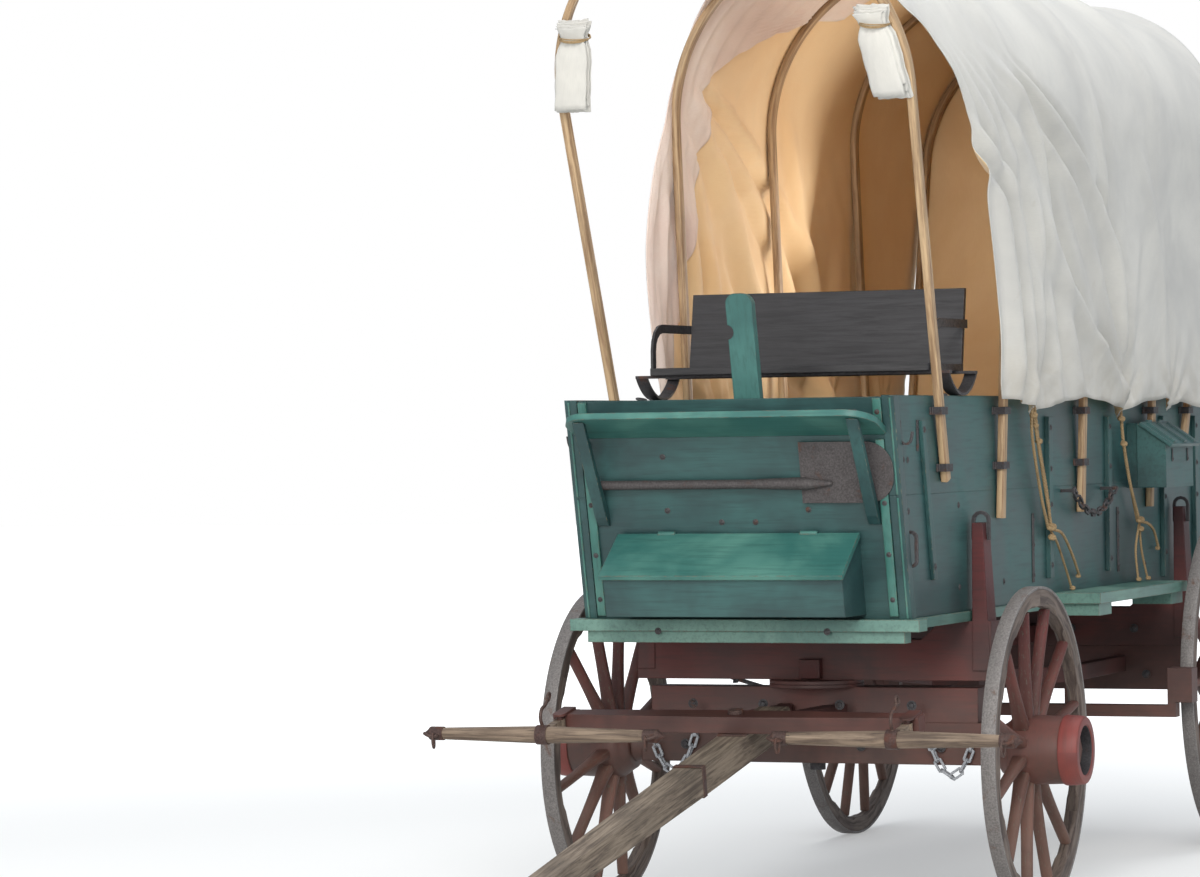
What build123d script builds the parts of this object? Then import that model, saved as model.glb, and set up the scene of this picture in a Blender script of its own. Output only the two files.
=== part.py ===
"""Horse-drawn covered wagon, parked with its tongue lowered to the ground.

Millimetres. +X is forward, +Y is the wagon's left and +Z is up. Every station along the wagon
is written from the front axle, and at the end the whole wagon is shifted along X so that the
origin lies on the ground under the middle of its length. The left side is drawn and the right
side is its mirror image, apart from the side tool box and the shovel, which are on the left only.
"""

import math
import os

from build123d import *

# Clearances
FIT_GAP = 0.3
RUN_GAP = 0.5
MOVE_GAP = 6.0

# Running gear: wheels
WHEELBASE = 2700.0
TRACK = 1580.0
WHEEL_FRONT_R = 559.0
WHEEL_REAR_R = 660.0
SPOKES_FRONT = 12
SPOKES_REAR = 14
TYRE_W = 50.0
TYRE_T = 10.0
FELLOE_W = 46.0
FELLOE_DEPTH = 58.0
HUB_OUT = 178.0
HUB_IN = 112.0
HUB_R = 118.0
HUB_NECK_R = 84.0
HUB_RECESS_R = 84.0
HUB_RECESS_DEPTH = 62.0
HUB_BAND = 34.0
HUB_BORE_R = 37.0
DISH = 26.0
SPOKE_ROOT_W = 56.0
SPOKE_ROOT_T = 37.0
SPOKE_TAPER = 0.72
SPOKE_SIDES = 10

# Running gear: axles, bolsters and what joins them
AXLE_TIMBER_T = 98.0
AXLE_HALF = 640.0
AXLE_UNDER = 54.0
NUT_R = 50.0
NUT_LEN = 34.0
FRONT_AXLE_TOP = 650.0
HOUND_H = 60.0
HOUND_W = 52.0
SAND_BOARD_TOP = 770.0
SAND_BOARD_HALF = 600.0
RUB_PLATE_R = 165.0
RUB_PLATE_T = 12.0
BOLSTER_TOP = 1000.0
BOLSTER_HALF = 652.0
BOLSTER_BOTTOM = 795.0
BOLSTER_RELIEF = 64.0
BOLSTER_RELIEF_HALF = 430.0
REAR_AXLE_TOP = 781.0
STAKE_TOP = 1337.0
STAKE_INNER = 585.0
STAKE_FOOT_W = 64.0
STAKE_TIP_W = 38.0
STAKE_FOOT_T = 110.0
STAKE_TIP_T = 80.0
STAKE_RING_T = 12.0
STAKE_RING_RISE = 41.0
STAKE_RING_LEG = 60.0
STAKE_RING_SLACK = 4.5
REACH_W = 76.0
REACH_BOTTOM = 800.0
REACH_H = 66.0
REACH_TAIL = 250.0
KINGPIN_R = 15.0

# Box
BOX_HALF = 563.0
BOARD_T = 25.0
FLOOR_T = 35.0
FLOOR_TOP = BOLSTER_TOP + FLOOR_T
BOX_TOP = 1774.0
BOARD_SEAM = 1445.0
BOX_FRONT = 700.0
BOX_REAR = -3250.0
RAKE = 0.22
SILL_HALF = 620.0
SILL_FRONT = 745.0
SILL_DEPTH = 86.0
SILL_PROUD = 12.0

# Bows and cover
BOW_T = 25.0
BOW_W = 45.0
ARCH_Z = 2790.0
ARCH_R = 625.0
BOW_FOOT_Y = 577.0
END_ARCH_R = 619.0
END_ARCH_Z = 2808.0
END_LEAN_DEG = 19.0
COVER_T = 8.0
COVER_HEM = 1752.0

# Tongue and draught bars
PIVOT_X = 450.0
PIVOT_Z = 680.0
PIVOT_PIN_R = 14.0
TONGUE_L = 3610.0
TONGUE_STRAIGHT = 760.0
TONGUE_ROOT_W = 100.0
TONGUE_ROOT_H = 94.0
TONGUE_TIP = 62.0
TONGUE_CAP_L = 120.0
TONGUE_CAP_T = 3.0
DOUBLETREE_X = 350.0
DOUBLETREE_HALF = 645.0
DOUBLETREE_T = 56.0
DOUBLETREE_MID_W = 98.0
DOUBLETREE_END_W = 66.0
SINGLE_PIVOT_Y = 612.0
SINGLE_AHEAD = 205.0
SINGLE_HALF = 408.0
SINGLE_MID_R = 29.0
SINGLE_END_R = 20.0
SINGLE_FERRULE = 58.0
YOKE_BACK = 165.0
YOKE_HALF = 585.0
YOKE_MID_R = 42.0
YOKE_END_R = 24.0
YOKE_FERRULE = 62.0
BAR_SIDES = 14

PARTS = {}


def add(name, shape):
    """Keep one finished piece under its node name."""
    PARTS[name] = shape


def block(x0, x1, y0, y1, z0, z1):
    """A plain timber between two corners."""
    size = Box(x1 - x0, y1 - y0, z1 - z0)
    return Pos((x0 + x1) / 2, (y0 + y1) / 2, (z0 + z1) / 2) * size


def side_plate(outline, y0, y1):
    """A plate whose outline is drawn in side view, as (x, z), and which runs from y0 to y1."""
    wire = Polyline(*[(x, y0, z) for x, z in outline], close=True)
    return extrude(make_face(wire.edges()), amount=y1 - y0, dir=(0, 1, 0))


def end_plate(outline, x0, x1):
    """A plate whose outline is drawn in end view, as (y, z), and which runs from x0 to x1."""
    wire = Polyline(*[(x0, y, z) for y, z in outline], close=True)
    return extrude(make_face(wire.edges()), amount=x1 - x0, dir=(1, 0, 0))


def plan_plate(outline, z0, z1):
    """A plate whose outline is drawn in plan, as (x, y), and which runs from z0 to z1."""
    wire = Polyline(*[(x, y, z0) for x, y in outline], close=True)
    return extrude(make_face(wire.edges()), amount=z1 - z0, dir=(0, 0, 1))


def rod(start, end, radius):
    """A round bar from start to end."""
    line = Vector(*end) - Vector(*start)
    plane = Plane(origin=start, z_dir=line)
    return extrude(plane * Circle(radius), amount=line.length)


def turned(outline, centre=(0, 0, 0)):
    """A turned piece about an axis along Y; the outline is (y, radius) from one end to the other."""
    wire = Polyline(*[(0, y, r) for y, r in outline], close=True)
    return Pos(*centre) * revolve(make_face(wire.edges()), axis=Axis.Y)


def bend(centre, radius, start_deg, end_deg, steps=4):
    """Points round a bend of a bar, from one angle to the other about its centre."""
    turns = [start_deg + (end_deg - start_deg) * index / steps for index in range(steps + 1)]
    return [(centre[0] + radius * math.cos(math.radians(turn)),
             centre[1] + radius * math.sin(math.radians(turn))) for turn in turns]


def bent_bar(line, thickness, low, high, plate):
    """A flat bar bent along a line and as thick as given, which lies on the left of the line."""
    outer = []
    for index, point in enumerate(line):
        before = line[max(index - 1, 0)]
        after = line[min(index + 1, len(line) - 1)]
        into = (point[0] - before[0], point[1] - before[1])
        out = (after[0] - point[0], after[1] - point[1])
        if index == 0:
            into = out
        if index == len(line) - 1:
            out = into
        into_len = math.hypot(*into)
        out_len = math.hypot(*out)
        normal = (-(into[1] / into_len + out[1] / out_len), into[0] / into_len + out[0] / out_len)
        square = normal[0] ** 2 + normal[1] ** 2
        outer.append((point[0] + 2 * thickness * normal[0] / square,
                      point[1] + 2 * thickness * normal[1] / square))
    return plate(list(line) + outer[::-1], low, high)


def mirrored(shape):
    """The right-hand copy of a left-hand piece."""
    return mirror(shape, about=Plane.XZ)


def both_sides(shape):
    """A left-hand piece and its mirror image as one node."""
    return Compound(children=[*shape.solids(), *mirrored(shape).solids()])


def rake_front(z):
    """Station of the raked front of the box at height z."""
    return BOX_FRONT + RAKE * (z - FLOOR_TOP)


def rake_rear(z):
    """Station of the raked rear of the box at height z."""
    return BOX_REAR - RAKE * (z - FLOOR_TOP)


def shaved_oval(width, thickness):
    """The oval section of a shaved spoke, as a polygon whose corners lie on an ellipse."""
    turns = [2 * math.pi * (index + 0.5) / SPOKE_SIDES for index in range(SPOKE_SIDES)]
    corners = [(width / 2 * math.cos(turn), thickness / 2 * math.sin(turn)) for turn in turns]
    return make_face(Polyline(*corners, close=True).edges())


def shaved_bar(start, end, radius_start, radius_end):
    """A bar shaved to many flats along Y, tapering from one radius to the other."""
    line = Vector(*end) - Vector(*start)
    near = Plane(origin=start, z_dir=line)
    far = Plane(origin=end, z_dir=line)
    return loft([near * RegularPolygon(radius_start, BAR_SIDES),
                 far * RegularPolygon(radius_end, BAR_SIDES)], ruled=True)


# Wheels

def wheel_parts(radius, spokes):
    """Hub with spokes, felloe ring and tyre of a left-hand wheel about the Y axis."""
    felloe_out = radius - TYRE_T - FIT_GAP
    felloe_in = felloe_out - FELLOE_DEPTH
    tyre_half = TYRE_W / 2
    tyre = turned([(-tyre_half, radius - TYRE_T), (-tyre_half, radius),
                   (tyre_half, radius), (tyre_half, radius - TYRE_T)])

    half = FELLOE_W / 2
    rim = turned([(-half, felloe_in), (-half, felloe_out), (half, felloe_out),
                  (half, felloe_in)])

    recess_floor = HUB_OUT - HUB_RECESS_DEPTH
    hub = turned([(-HUB_IN, HUB_BORE_R), (-HUB_IN, HUB_NECK_R), (-HUB_IN + HUB_BAND, HUB_R - 14),
                  (-DISH - SPOKE_ROOT_W / 2 - 4, HUB_R),
                  (HUB_OUT - 2 * HUB_BAND, HUB_R - 3), (HUB_OUT - 2 * HUB_BAND, HUB_R + 1),
                  (HUB_OUT, HUB_R - 5), (HUB_OUT, HUB_RECESS_R),
                  (recess_floor, HUB_RECESS_R - 6), (recess_floor, HUB_BORE_R)])

    root = Plane(origin=(0, -DISH, HUB_R - 22), x_dir=(0, 1, 0), z_dir=(0, 0, 1))
    tip = Plane(origin=(0, 0, felloe_in + 12), x_dir=(0, 1, 0), z_dir=(0, 0, 1))
    spoke = loft([root * shaved_oval(SPOKE_ROOT_W, SPOKE_ROOT_T),
                  tip * shaved_oval(SPOKE_ROOT_W * SPOKE_TAPER, SPOKE_ROOT_T * SPOKE_TAPER)],
                 ruled=True)
    spoke -= turned([(-TYRE_W, felloe_in - FIT_GAP), (-TYRE_W, radius),
                     (TYRE_W, radius), (TYRE_W, felloe_in - FIT_GAP)])
    for index in range(spokes):
        hub += Rot(0, 360.0 * (index + 0.5) / spokes, 0) * spoke
    return {"hub": hub, "felloes": rim, "tyre": tyre}


# End, station, radius, spokes
WHEEL_SETS = (("front", 0.0, WHEEL_FRONT_R, SPOKES_FRONT),
              ("rear", -WHEELBASE, WHEEL_REAR_R, SPOKES_REAR))
for end, station, radius, spokes in WHEEL_SETS:
    for piece, shape in wheel_parts(radius, spokes).items():
        left = Pos(station, TRACK / 2, radius) * shape
        add(f"wheel_{end}_left_{piece}", left)
        add(f"wheel_{end}_right_{piece}", mirrored(left))


# Axles

def axle_arm(station, height):
    """Left-hand axle arm with its collar and nut, in the bore of the hub."""
    rim_y = TRACK / 2
    collar_end = rim_y - HUB_IN - FIT_GAP
    nut_start = rim_y + HUB_OUT - HUB_RECESS_DEPTH + FIT_GAP
    arm = turned([(AXLE_HALF - 40, 0), (AXLE_HALF - 40, 46), (AXLE_HALF, 50), (collar_end, 62),
                  (collar_end, HUB_BORE_R - RUN_GAP), (nut_start, HUB_BORE_R - RUN_GAP),
                  (nut_start, 0)], (station, 0, height))
    plane = Plane(origin=(station, nut_start, height), x_dir=(1, 0, 0), z_dir=(0, 1, 0))
    nut = extrude(plane * RegularPolygon(NUT_R, 6), amount=NUT_LEN)
    return arm + nut


def axle(station, height, top):
    """A wooden axle bed with an iron arm at each end."""
    half = AXLE_TIMBER_T / 2
    bed = block(station - half, station + half, -AXLE_HALF, AXLE_HALF, height - AXLE_UNDER, top)
    arm = axle_arm(station, height)
    return bed + arm + mirrored(arm)


HOUND_Y = (TONGUE_ROOT_W / 2 + MOVE_GAP, TONGUE_ROOT_W / 2 + MOVE_GAP + HOUND_W)
HOUND_SPREAD = 250.0
HOUND_BACK = -540.0
HOUND_FRONT = PIVOT_X + 58.0
HOUND_TOP = FRONT_AXLE_TOP + HOUND_H
kingpin_hole = rod((0, 0, 300), (0, 0, 1100), KINGPIN_R + RUN_GAP)


def front_hound(grow):
    """Left-hand hound in plan: straight beside the tongue, then spread behind the axle."""
    y0, y1 = HOUND_Y
    outline = [(HOUND_FRONT, y0 - grow), (AXLE_TIMBER_T / 2 + 60, y0 - grow),
               (HOUND_BACK, HOUND_SPREAD - grow), (HOUND_BACK, HOUND_SPREAD + HOUND_W + grow),
               (AXLE_TIMBER_T / 2 + 60, y1 + grow), (HOUND_FRONT, y1 + grow)]
    return plan_plate(outline, FRONT_AXLE_TOP, HOUND_TOP + grow)


front_axle = axle(0.0, WHEEL_FRONT_R, FRONT_AXLE_TOP) - kingpin_hole
add("front_axle", front_axle)
add("rear_axle", axle(-WHEELBASE, WHEEL_REAR_R, REAR_AXLE_TOP))

hound = front_hound(0)
sway_bar = block(HOUND_BACK + 8, HOUND_BACK + 70, -HOUND_SPREAD - HOUND_W - 30,
                 HOUND_SPREAD + HOUND_W + 30, HOUND_TOP, HOUND_TOP + 34)
tongue_pin = rod((PIVOT_X, -HOUND_Y[1] - 22, PIVOT_Z), (PIVOT_X, HOUND_Y[1] + 22, PIVOT_Z),
                 PIVOT_PIN_R)
pin_head = rod((PIVOT_X, HOUND_Y[1], PIVOT_Z), (PIVOT_X, HOUND_Y[1] + 16, PIVOT_Z), 26)
add("front_hounds", hound + mirrored(hound) + sway_bar + tongue_pin + pin_head
    + mirrored(pin_head))

half = AXLE_TIMBER_T / 2
sand_board = block(-half, half, -SAND_BOARD_HALF, SAND_BOARD_HALF, FRONT_AXLE_TOP, SAND_BOARD_TOP)
sand_board -= front_hound(FIT_GAP)
sand_board -= mirrored(front_hound(FIT_GAP))
sand_board += Pos(0, 0, SAND_BOARD_TOP + RUB_PLATE_T / 2) * Cylinder(RUB_PLATE_R, RUB_PLATE_T)
add("sand_board", sand_board - kingpin_hole)

# Bolsters with their stakes


def bolster(station, bottom):
    """A bolster with raised ends, a reach mortise and a tapered stake at each end."""
    low = BOLSTER_TOP - BOLSTER_RELIEF
    shape = end_plate([(-BOLSTER_HALF, bottom), (BOLSTER_HALF, bottom),
                       (BOLSTER_HALF, BOLSTER_TOP), (BOLSTER_RELIEF_HALF + 40, BOLSTER_TOP),
                       (BOLSTER_RELIEF_HALF - 30, low), (-BOLSTER_RELIEF_HALF + 30, low),
                       (-BOLSTER_RELIEF_HALF - 40, BOLSTER_TOP), (-BOLSTER_HALF, BOLSTER_TOP)],
                      station - half, station + half)
    shape -= block(station - half, station + half, -REACH_W / 2 - FIT_GAP, REACH_W / 2 + FIT_GAP,
                   REACH_BOTTOM - FIT_GAP, REACH_BOTTOM + REACH_H + FIT_GAP)
    foot = Plane(origin=(station, STAKE_INNER + STAKE_FOOT_W / 2, bottom + 35))
    tip = Plane(origin=(station, STAKE_INNER + STAKE_TIP_W / 2, STAKE_TOP))
    stake = loft([foot * Rectangle(STAKE_FOOT_T, STAKE_FOOT_W),
                  tip * Rectangle(STAKE_TIP_T, STAKE_TIP_W)])
    return shape + stake + mirrored(stake)


front_bolster = bolster(0.0, BOLSTER_BOTTOM)
upper_plate_bottom = SAND_BOARD_TOP + RUB_PLATE_T + RUN_GAP
upper_plate_t = BOLSTER_BOTTOM - upper_plate_bottom
front_bolster += Pos(0, 0, upper_plate_bottom + upper_plate_t / 2) * Cylinder(RUB_PLATE_R,
                                                                              upper_plate_t)
add("front_bolster", front_bolster - kingpin_hole)
add("rear_bolster", bolster(-WHEELBASE, REAR_AXLE_TOP))

reach_front = half + 30
reach = block(-WHEELBASE - REACH_TAIL, reach_front, -REACH_W / 2, REACH_W / 2, REACH_BOTTOM,
              REACH_BOTTOM + REACH_H)
add("reach", reach - kingpin_hole)

kingpin = rod((0, 0, WHEEL_FRONT_R - AXLE_UNDER - 26), (0, 0, REACH_BOTTOM + REACH_H + FIT_GAP),
              KINGPIN_R + RUN_GAP - FIT_GAP)
kingpin += rod((0, 0, REACH_BOTTOM + REACH_H + FIT_GAP), (0, 0, REACH_BOTTOM + REACH_H + 14),
               KINGPIN_R * 2)
kingpin += rod((0, 0, WHEEL_FRONT_R - AXLE_UNDER - 26), (0, 0, WHEEL_FRONT_R - AXLE_UNDER - 2),
               KINGPIN_R * 1.8)
kingpin_pocket = rod((0, 0, REACH_BOTTOM + REACH_H), (0, 0, BOLSTER_TOP), KINGPIN_R * 2 + FIT_GAP)
PARTS["front_bolster"] = PARTS["front_bolster"] - kingpin_pocket
add("kingpin", kingpin)

# Rear hounds run forward from under the rear bolster to the reach, and carry the brake

REAR_HOUND_FRONT = -WHEELBASE + 800.0
REAR_HOUND_Y = 330.0
rear_hound_bottom = REAR_AXLE_TOP - HOUND_H - 42
rear_hound = plan_plate([(-WHEELBASE + half + FIT_GAP, REAR_HOUND_Y),
                         (REAR_HOUND_FRONT, REAR_HOUND_Y),
                         (REAR_HOUND_FRONT + 300, REACH_W / 2 + 4),
                         (REAR_HOUND_FRONT + 300, REACH_W / 2 + 4 + HOUND_W),
                         (REAR_HOUND_FRONT + 20, REAR_HOUND_Y + HOUND_W),
                         (-WHEELBASE + half + FIT_GAP, REAR_HOUND_Y + HOUND_W)],
                        rear_hound_bottom, rear_hound_bottom + HOUND_H)
reach_block = block(REAR_HOUND_FRONT + 214, REAR_HOUND_FRONT + 300, -REACH_W / 2 - 24,
                    REACH_W / 2 + 24, rear_hound_bottom, REACH_BOTTOM - FIT_GAP)
add("rear_hounds", rear_hound + mirrored(rear_hound) + reach_block)

BRAKE_X = -WHEELBASE + 750.0
BRAKE_BEAM_H = 46.0
BEAM_T = 60.0
BRAKE_BEAM_HALF = 778.0
BRAKE_BEAM_TOP = rear_hound_bottom - 88
SHOE_H = 132.0
beam = block(BRAKE_X - BEAM_T / 2, BRAKE_X + BEAM_T / 2, -BRAKE_BEAM_HALF, BRAKE_BEAM_HALF,
             BRAKE_BEAM_TOP - BRAKE_BEAM_H, BRAKE_BEAM_TOP)
hanger = block(BRAKE_X - 22, BRAKE_X + 22, REAR_HOUND_Y + 6, REAR_HOUND_Y + HOUND_W - 6,
               BRAKE_BEAM_TOP, rear_hound_bottom)
shoe = block(BRAKE_X - 56, BRAKE_X + 30, TRACK / 2 - 44, TRACK / 2 + 52,
             BRAKE_BEAM_TOP + 10, BRAKE_BEAM_TOP + 10 + SHOE_H)
wheel_sweep = Pos(-WHEELBASE, TRACK / 2, WHEEL_REAR_R) * (
    Rot(90, 0, 0) * Cylinder(WHEEL_REAR_R + MOVE_GAP + 2, TYRE_W * 4))
shoe_post = block(BRAKE_X - 30, BRAKE_X + 30, TRACK / 2 - 44, BRAKE_BEAM_HALF,
                  BRAKE_BEAM_TOP, BRAKE_BEAM_TOP + 10)
shoe = shoe - wheel_sweep
beam = beam + hanger + mirrored(hanger) + shoe + mirrored(shoe) + shoe_post + mirrored(shoe_post)
add("brake_beam", beam)

# Box: floor, sides in two boards, raked front and a drop tailgate

inner = BOX_HALF - BOARD_T - FIT_GAP
sill_back = SILL_FRONT - SILL_DEPTH
floor = block(BOX_REAR, sill_back - FIT_GAP, -inner, inner, BOLSTER_TOP, FLOOR_TOP)
add("floor", floor)

# Sills: a wide one across the front, one along each side under the box, and a cleat below
side_sill = block(BOX_REAR, sill_back, BOX_HALF - BOARD_T, BOX_HALF + SILL_PROUD, BOLSTER_TOP,
                  FLOOR_TOP)
sills = block(sill_back, SILL_FRONT, -SILL_HALF, SILL_HALF, BOLSTER_TOP - 5, FLOOR_TOP)
sills += side_sill + mirrored(side_sill)
sills += block(sill_back, SILL_FRONT - 20, -BOX_HALF, BOX_HALF, BOLSTER_TOP - 44, BOLSTER_TOP - 5)
add("floor_sills", sills)

BOARDS = (("lower", FLOOR_TOP, BOARD_SEAM), ("upper", BOARD_SEAM, BOX_TOP))
for board, z0, z1 in BOARDS:
    left = side_plate([(rake_rear(z0), z0), (rake_front(z0), z0), (rake_front(z1), z1),
                       (rake_rear(z1), z1)], BOX_HALF - BOARD_T, BOX_HALF)
    add(f"side_{board}_left", left)
    add(f"side_{board}_right", mirrored(left))

FRONT_SETBACK = 10.0
front_board = side_plate([(rake_front(FLOOR_TOP) - FRONT_SETBACK, FLOOR_TOP),
                          (rake_front(BOX_TOP - 4) - FRONT_SETBACK, BOX_TOP - 4),
                          (rake_front(BOX_TOP - 4) - FRONT_SETBACK - BOARD_T, BOX_TOP - 4),
                          (rake_front(FLOOR_TOP) - FRONT_SETBACK - BOARD_T, FLOOR_TOP)],
                         -inner, inner)
add("front_board", front_board)

TAILGATE_GAP = 6.0
TAILGATE_BOTTOM = FLOOR_TOP + TAILGATE_GAP
gate_inner = BOX_HALF - BOARD_T - TAILGATE_GAP
tailgate = side_plate([(rake_rear(TAILGATE_BOTTOM) + 12, TAILGATE_BOTTOM),
                       (rake_rear(BOX_TOP - 4) + 12, BOX_TOP - 4),
                       (rake_rear(BOX_TOP - 4) + 12 + BOARD_T, BOX_TOP - 4),
                       (rake_rear(TAILGATE_BOTTOM) + 12 + BOARD_T, TAILGATE_BOTTOM)],
                      -gate_inner, gate_inner)
GATE_PIN = (BOX_REAR - 17.0, FLOOR_TOP + 18.0)
GATE_PIN_R = 7.0
GATE_EYE_R = 10.0
GATE_LUG_W = 40.0
GATE_CHEEK_T = 9.0
pin_x, pin_z = GATE_PIN
for hinge_y in (-350.0, 350.0):
    lug_y = (hinge_y - GATE_LUG_W / 2, hinge_y + GATE_LUG_W / 2)
    lug = block(pin_x, rake_rear(pin_z) + 12, *lug_y, pin_z - GATE_EYE_R, pin_z + GATE_EYE_R)
    lug += rod((pin_x, lug_y[0], pin_z), (pin_x, lug_y[1], pin_z), GATE_EYE_R)
    lug += side_plate([(rake_rear(pin_z - GATE_EYE_R) + 12, pin_z - GATE_EYE_R),
                       (rake_rear(pin_z + 260) + 12, pin_z + 260),
                       (rake_rear(pin_z + 260) + 6, pin_z + 260),
                       (rake_rear(pin_z - GATE_EYE_R) + 6, pin_z - GATE_EYE_R)], *lug_y)
    lug -= rod((pin_x, lug_y[0] - 1, pin_z), (pin_x, lug_y[1] + 1, pin_z), GATE_PIN_R + RUN_GAP - 0.2)
    tailgate += lug
    cheek_out = GATE_LUG_W / 2 + RUN_GAP * 2
    for side in (-1, 1):
        y_in = hinge_y + side * cheek_out
        y_out = hinge_y + side * (cheek_out + GATE_CHEEK_T)
        cheek = block(pin_x - GATE_EYE_R, BOX_REAR, min(y_in, y_out), max(y_in, y_out),
                      BOLSTER_TOP + 6, pin_z + GATE_EYE_R)
        PARTS["floor"] += cheek
    PARTS["floor"] += rod((pin_x, hinge_y - cheek_out, pin_z), (pin_x, hinge_y + cheek_out, pin_z),
                          GATE_PIN_R)
add("tailgate", tailgate)

# Footboard on the front, with its two struts

FOOT_BACK_Z = 1640.0
FOOT_TILT = 18.5
FOOT_DEPTH = 215.0
FOOT_T = 22.0
FOOT_HALF = 545.0
FOOT_CORNER_R = 95.0
foot_back = rake_front(FOOT_BACK_Z) - FRONT_SETBACK
shelf = Box(FOOT_DEPTH, 2 * FOOT_HALF, FOOT_T, align=(Align.MIN, Align.CENTER, Align.MIN))
corners = shelf.edges().filter_by(Axis.Z).group_by(Axis.X)[-1]
shelf = fillet(corners, FOOT_CORNER_R)
shelf = Pos(foot_back - 12, 0, FOOT_BACK_Z) * Rot(0, -FOOT_TILT, 0) * shelf
cut_low = FLOOR_TOP
cut_high = BOX_TOP + FOOT_DEPTH


def behind_rake(ahead, y0, y1):
    """All that lies behind the raked front, moved forward by ahead, between two widths."""
    return side_plate([(rake_front(cut_low) + ahead, cut_low),
                       (rake_front(cut_high) + ahead, cut_high), (0, cut_high), (0, cut_low)],
                      y0, y1)


behind_board = behind_rake(-FRONT_SETBACK, -BOX_HALF * 2, BOX_HALF * 2)
side_ends = behind_rake(FIT_GAP, inner - FIT_GAP, BOX_HALF + FIT_GAP)
shelf = shelf - behind_board - side_ends - mirrored(side_ends)
add("footboard", shelf)

STRUT_Y = 480.0
STRUT_W = 40.0
STRUT_LOW = 1350.0
STRUT_T = 22.0
strut_reach = 150.0
tilt = math.tan(math.radians(FOOT_TILT))
shelf_under = FOOT_BACK_Z + (strut_reach + 8) * tilt - 1.5
plate_t = 12.0
low_x = rake_front(STRUT_LOW) - FRONT_SETBACK
knee_z = STRUT_LOW + 28
strut = side_plate([(low_x, STRUT_LOW), (low_x + plate_t, STRUT_LOW),
                    (rake_front(knee_z) - FRONT_SETBACK + plate_t + STRUT_T, knee_z),
                    (foot_back + strut_reach + STRUT_T, shelf_under + STRUT_T * tilt),
                    (foot_back + strut_reach, shelf_under),
                    (rake_front(knee_z) - FRONT_SETBACK, knee_z)],
                   STRUT_Y - STRUT_W / 2, STRUT_Y + STRUT_W / 2)
strut -= shelf
add("footboard_struts", both_sides(strut))

POST_Y = (13.0, 105.0)
POST_T = 34.0
POST_LOW = 1420.0
POST_TOP = 2117.0
POST_NOTCH_Z = 1990.0
POST_HEAD_R = 36.0
post_face = -FRONT_SETBACK - BOARD_T - FIT_GAP
line_post = side_plate([(rake_front(POST_LOW) + post_face, POST_LOW),
                        (rake_front(POST_TOP) + post_face, POST_TOP),
                        (rake_front(POST_TOP) + post_face - POST_T, POST_TOP),
                        (rake_front(POST_LOW) + post_face - POST_T, POST_LOW)],
                       POST_Y[0], POST_Y[1])
post_mid = rake_front(POST_NOTCH_Z) + post_face - POST_T / 2
notch = Pos(post_mid, POST_Y[0] - 4, POST_NOTCH_Z) * (Rot(0, 90, 0) * Cylinder(24, POST_T * 4))
head = line_post.edges().filter_by(Axis.X, tolerance=89).group_by(Axis.Z)[-1].filter_by(
    lambda edge: abs(edge.tangent_at(0).Y) < 0.1)
line_post = fillet(head, POST_HEAD_R)
add("line_post", line_post - notch)

# Front tool box with its sloping lid

CHEST_HALF = 420.0
CHEST_DEPTH = 215.0
CHEST_WALL = 18.0
CHEST_BOTTOM = 1050.0
CHEST_BACK_TOP = 1318.0
CHEST_FRONT_TOP = 1182.0
chest_back = -FRONT_SETBACK + FIT_GAP


def chest_outline(inset, floor_z, lift):
    """Side view of the front tool box, inset by a wall and with its top edges lifted."""
    back = chest_back + inset
    front = chest_back + CHEST_DEPTH - inset
    front_top = CHEST_FRONT_TOP + lift
    back_top = CHEST_BACK_TOP + lift
    return [(rake_front(floor_z) + back, floor_z), (rake_front(floor_z) + front, floor_z),
            (rake_front(front_top) + front, front_top), (rake_front(back_top) + back, back_top)]


front_toolbox = side_plate(chest_outline(0, CHEST_BOTTOM, 0), -CHEST_HALF, CHEST_HALF)
chest_room = side_plate(chest_outline(CHEST_WALL, CHEST_BOTTOM + CHEST_WALL, CHEST_WALL * 3),
                        -CHEST_HALF + CHEST_WALL, CHEST_HALF - CHEST_WALL)
lid_slope = math.degrees(math.atan2(CHEST_BACK_TOP - CHEST_FRONT_TOP,
                                    rake_front(CHEST_FRONT_TOP) + CHEST_DEPTH
                                    - rake_front(CHEST_BACK_TOP)))
front_toolbox = front_toolbox - chest_room
add("front_toolbox", front_toolbox)

LID_T = 18.0
LID_OVER = 16.0
LID_SEAT = 0.6
LID_BACK = 16.0
lid_len = math.hypot(CHEST_BACK_TOP - CHEST_FRONT_TOP,
                     rake_front(CHEST_FRONT_TOP) + CHEST_DEPTH - rake_front(CHEST_BACK_TOP))
LID_HINGE_R = 7.0
LID_HINGE_W = 60.0
lid = Box(lid_len + LID_OVER - LID_BACK, 2 * (CHEST_HALF + 8), LID_T,
          align=(Align.MIN, Align.CENTER, Align.MIN))
lid = Pos(LID_BACK, 0, LID_SEAT) * lid
for y in (-CHEST_HALF * 0.6, CHEST_HALF * 0.6):
    barrel = Rot(90, 0, 0) * Cylinder(LID_HINGE_R, LID_HINGE_W)
    strap = Box(90, LID_HINGE_W - 20, 3, align=(Align.MIN, Align.CENTER, Align.MIN))
    lid += Pos(LID_BACK, y, LID_SEAT + LID_T) * barrel + Pos(LID_BACK, y, LID_SEAT + LID_T) * strap
lid = Pos(rake_front(CHEST_BACK_TOP) + chest_back, 0, CHEST_BACK_TOP) * Rot(0, lid_slope, 0) * lid
add("front_toolbox_lid", lid)

# Shovel hung behind the left-hand strut

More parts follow.
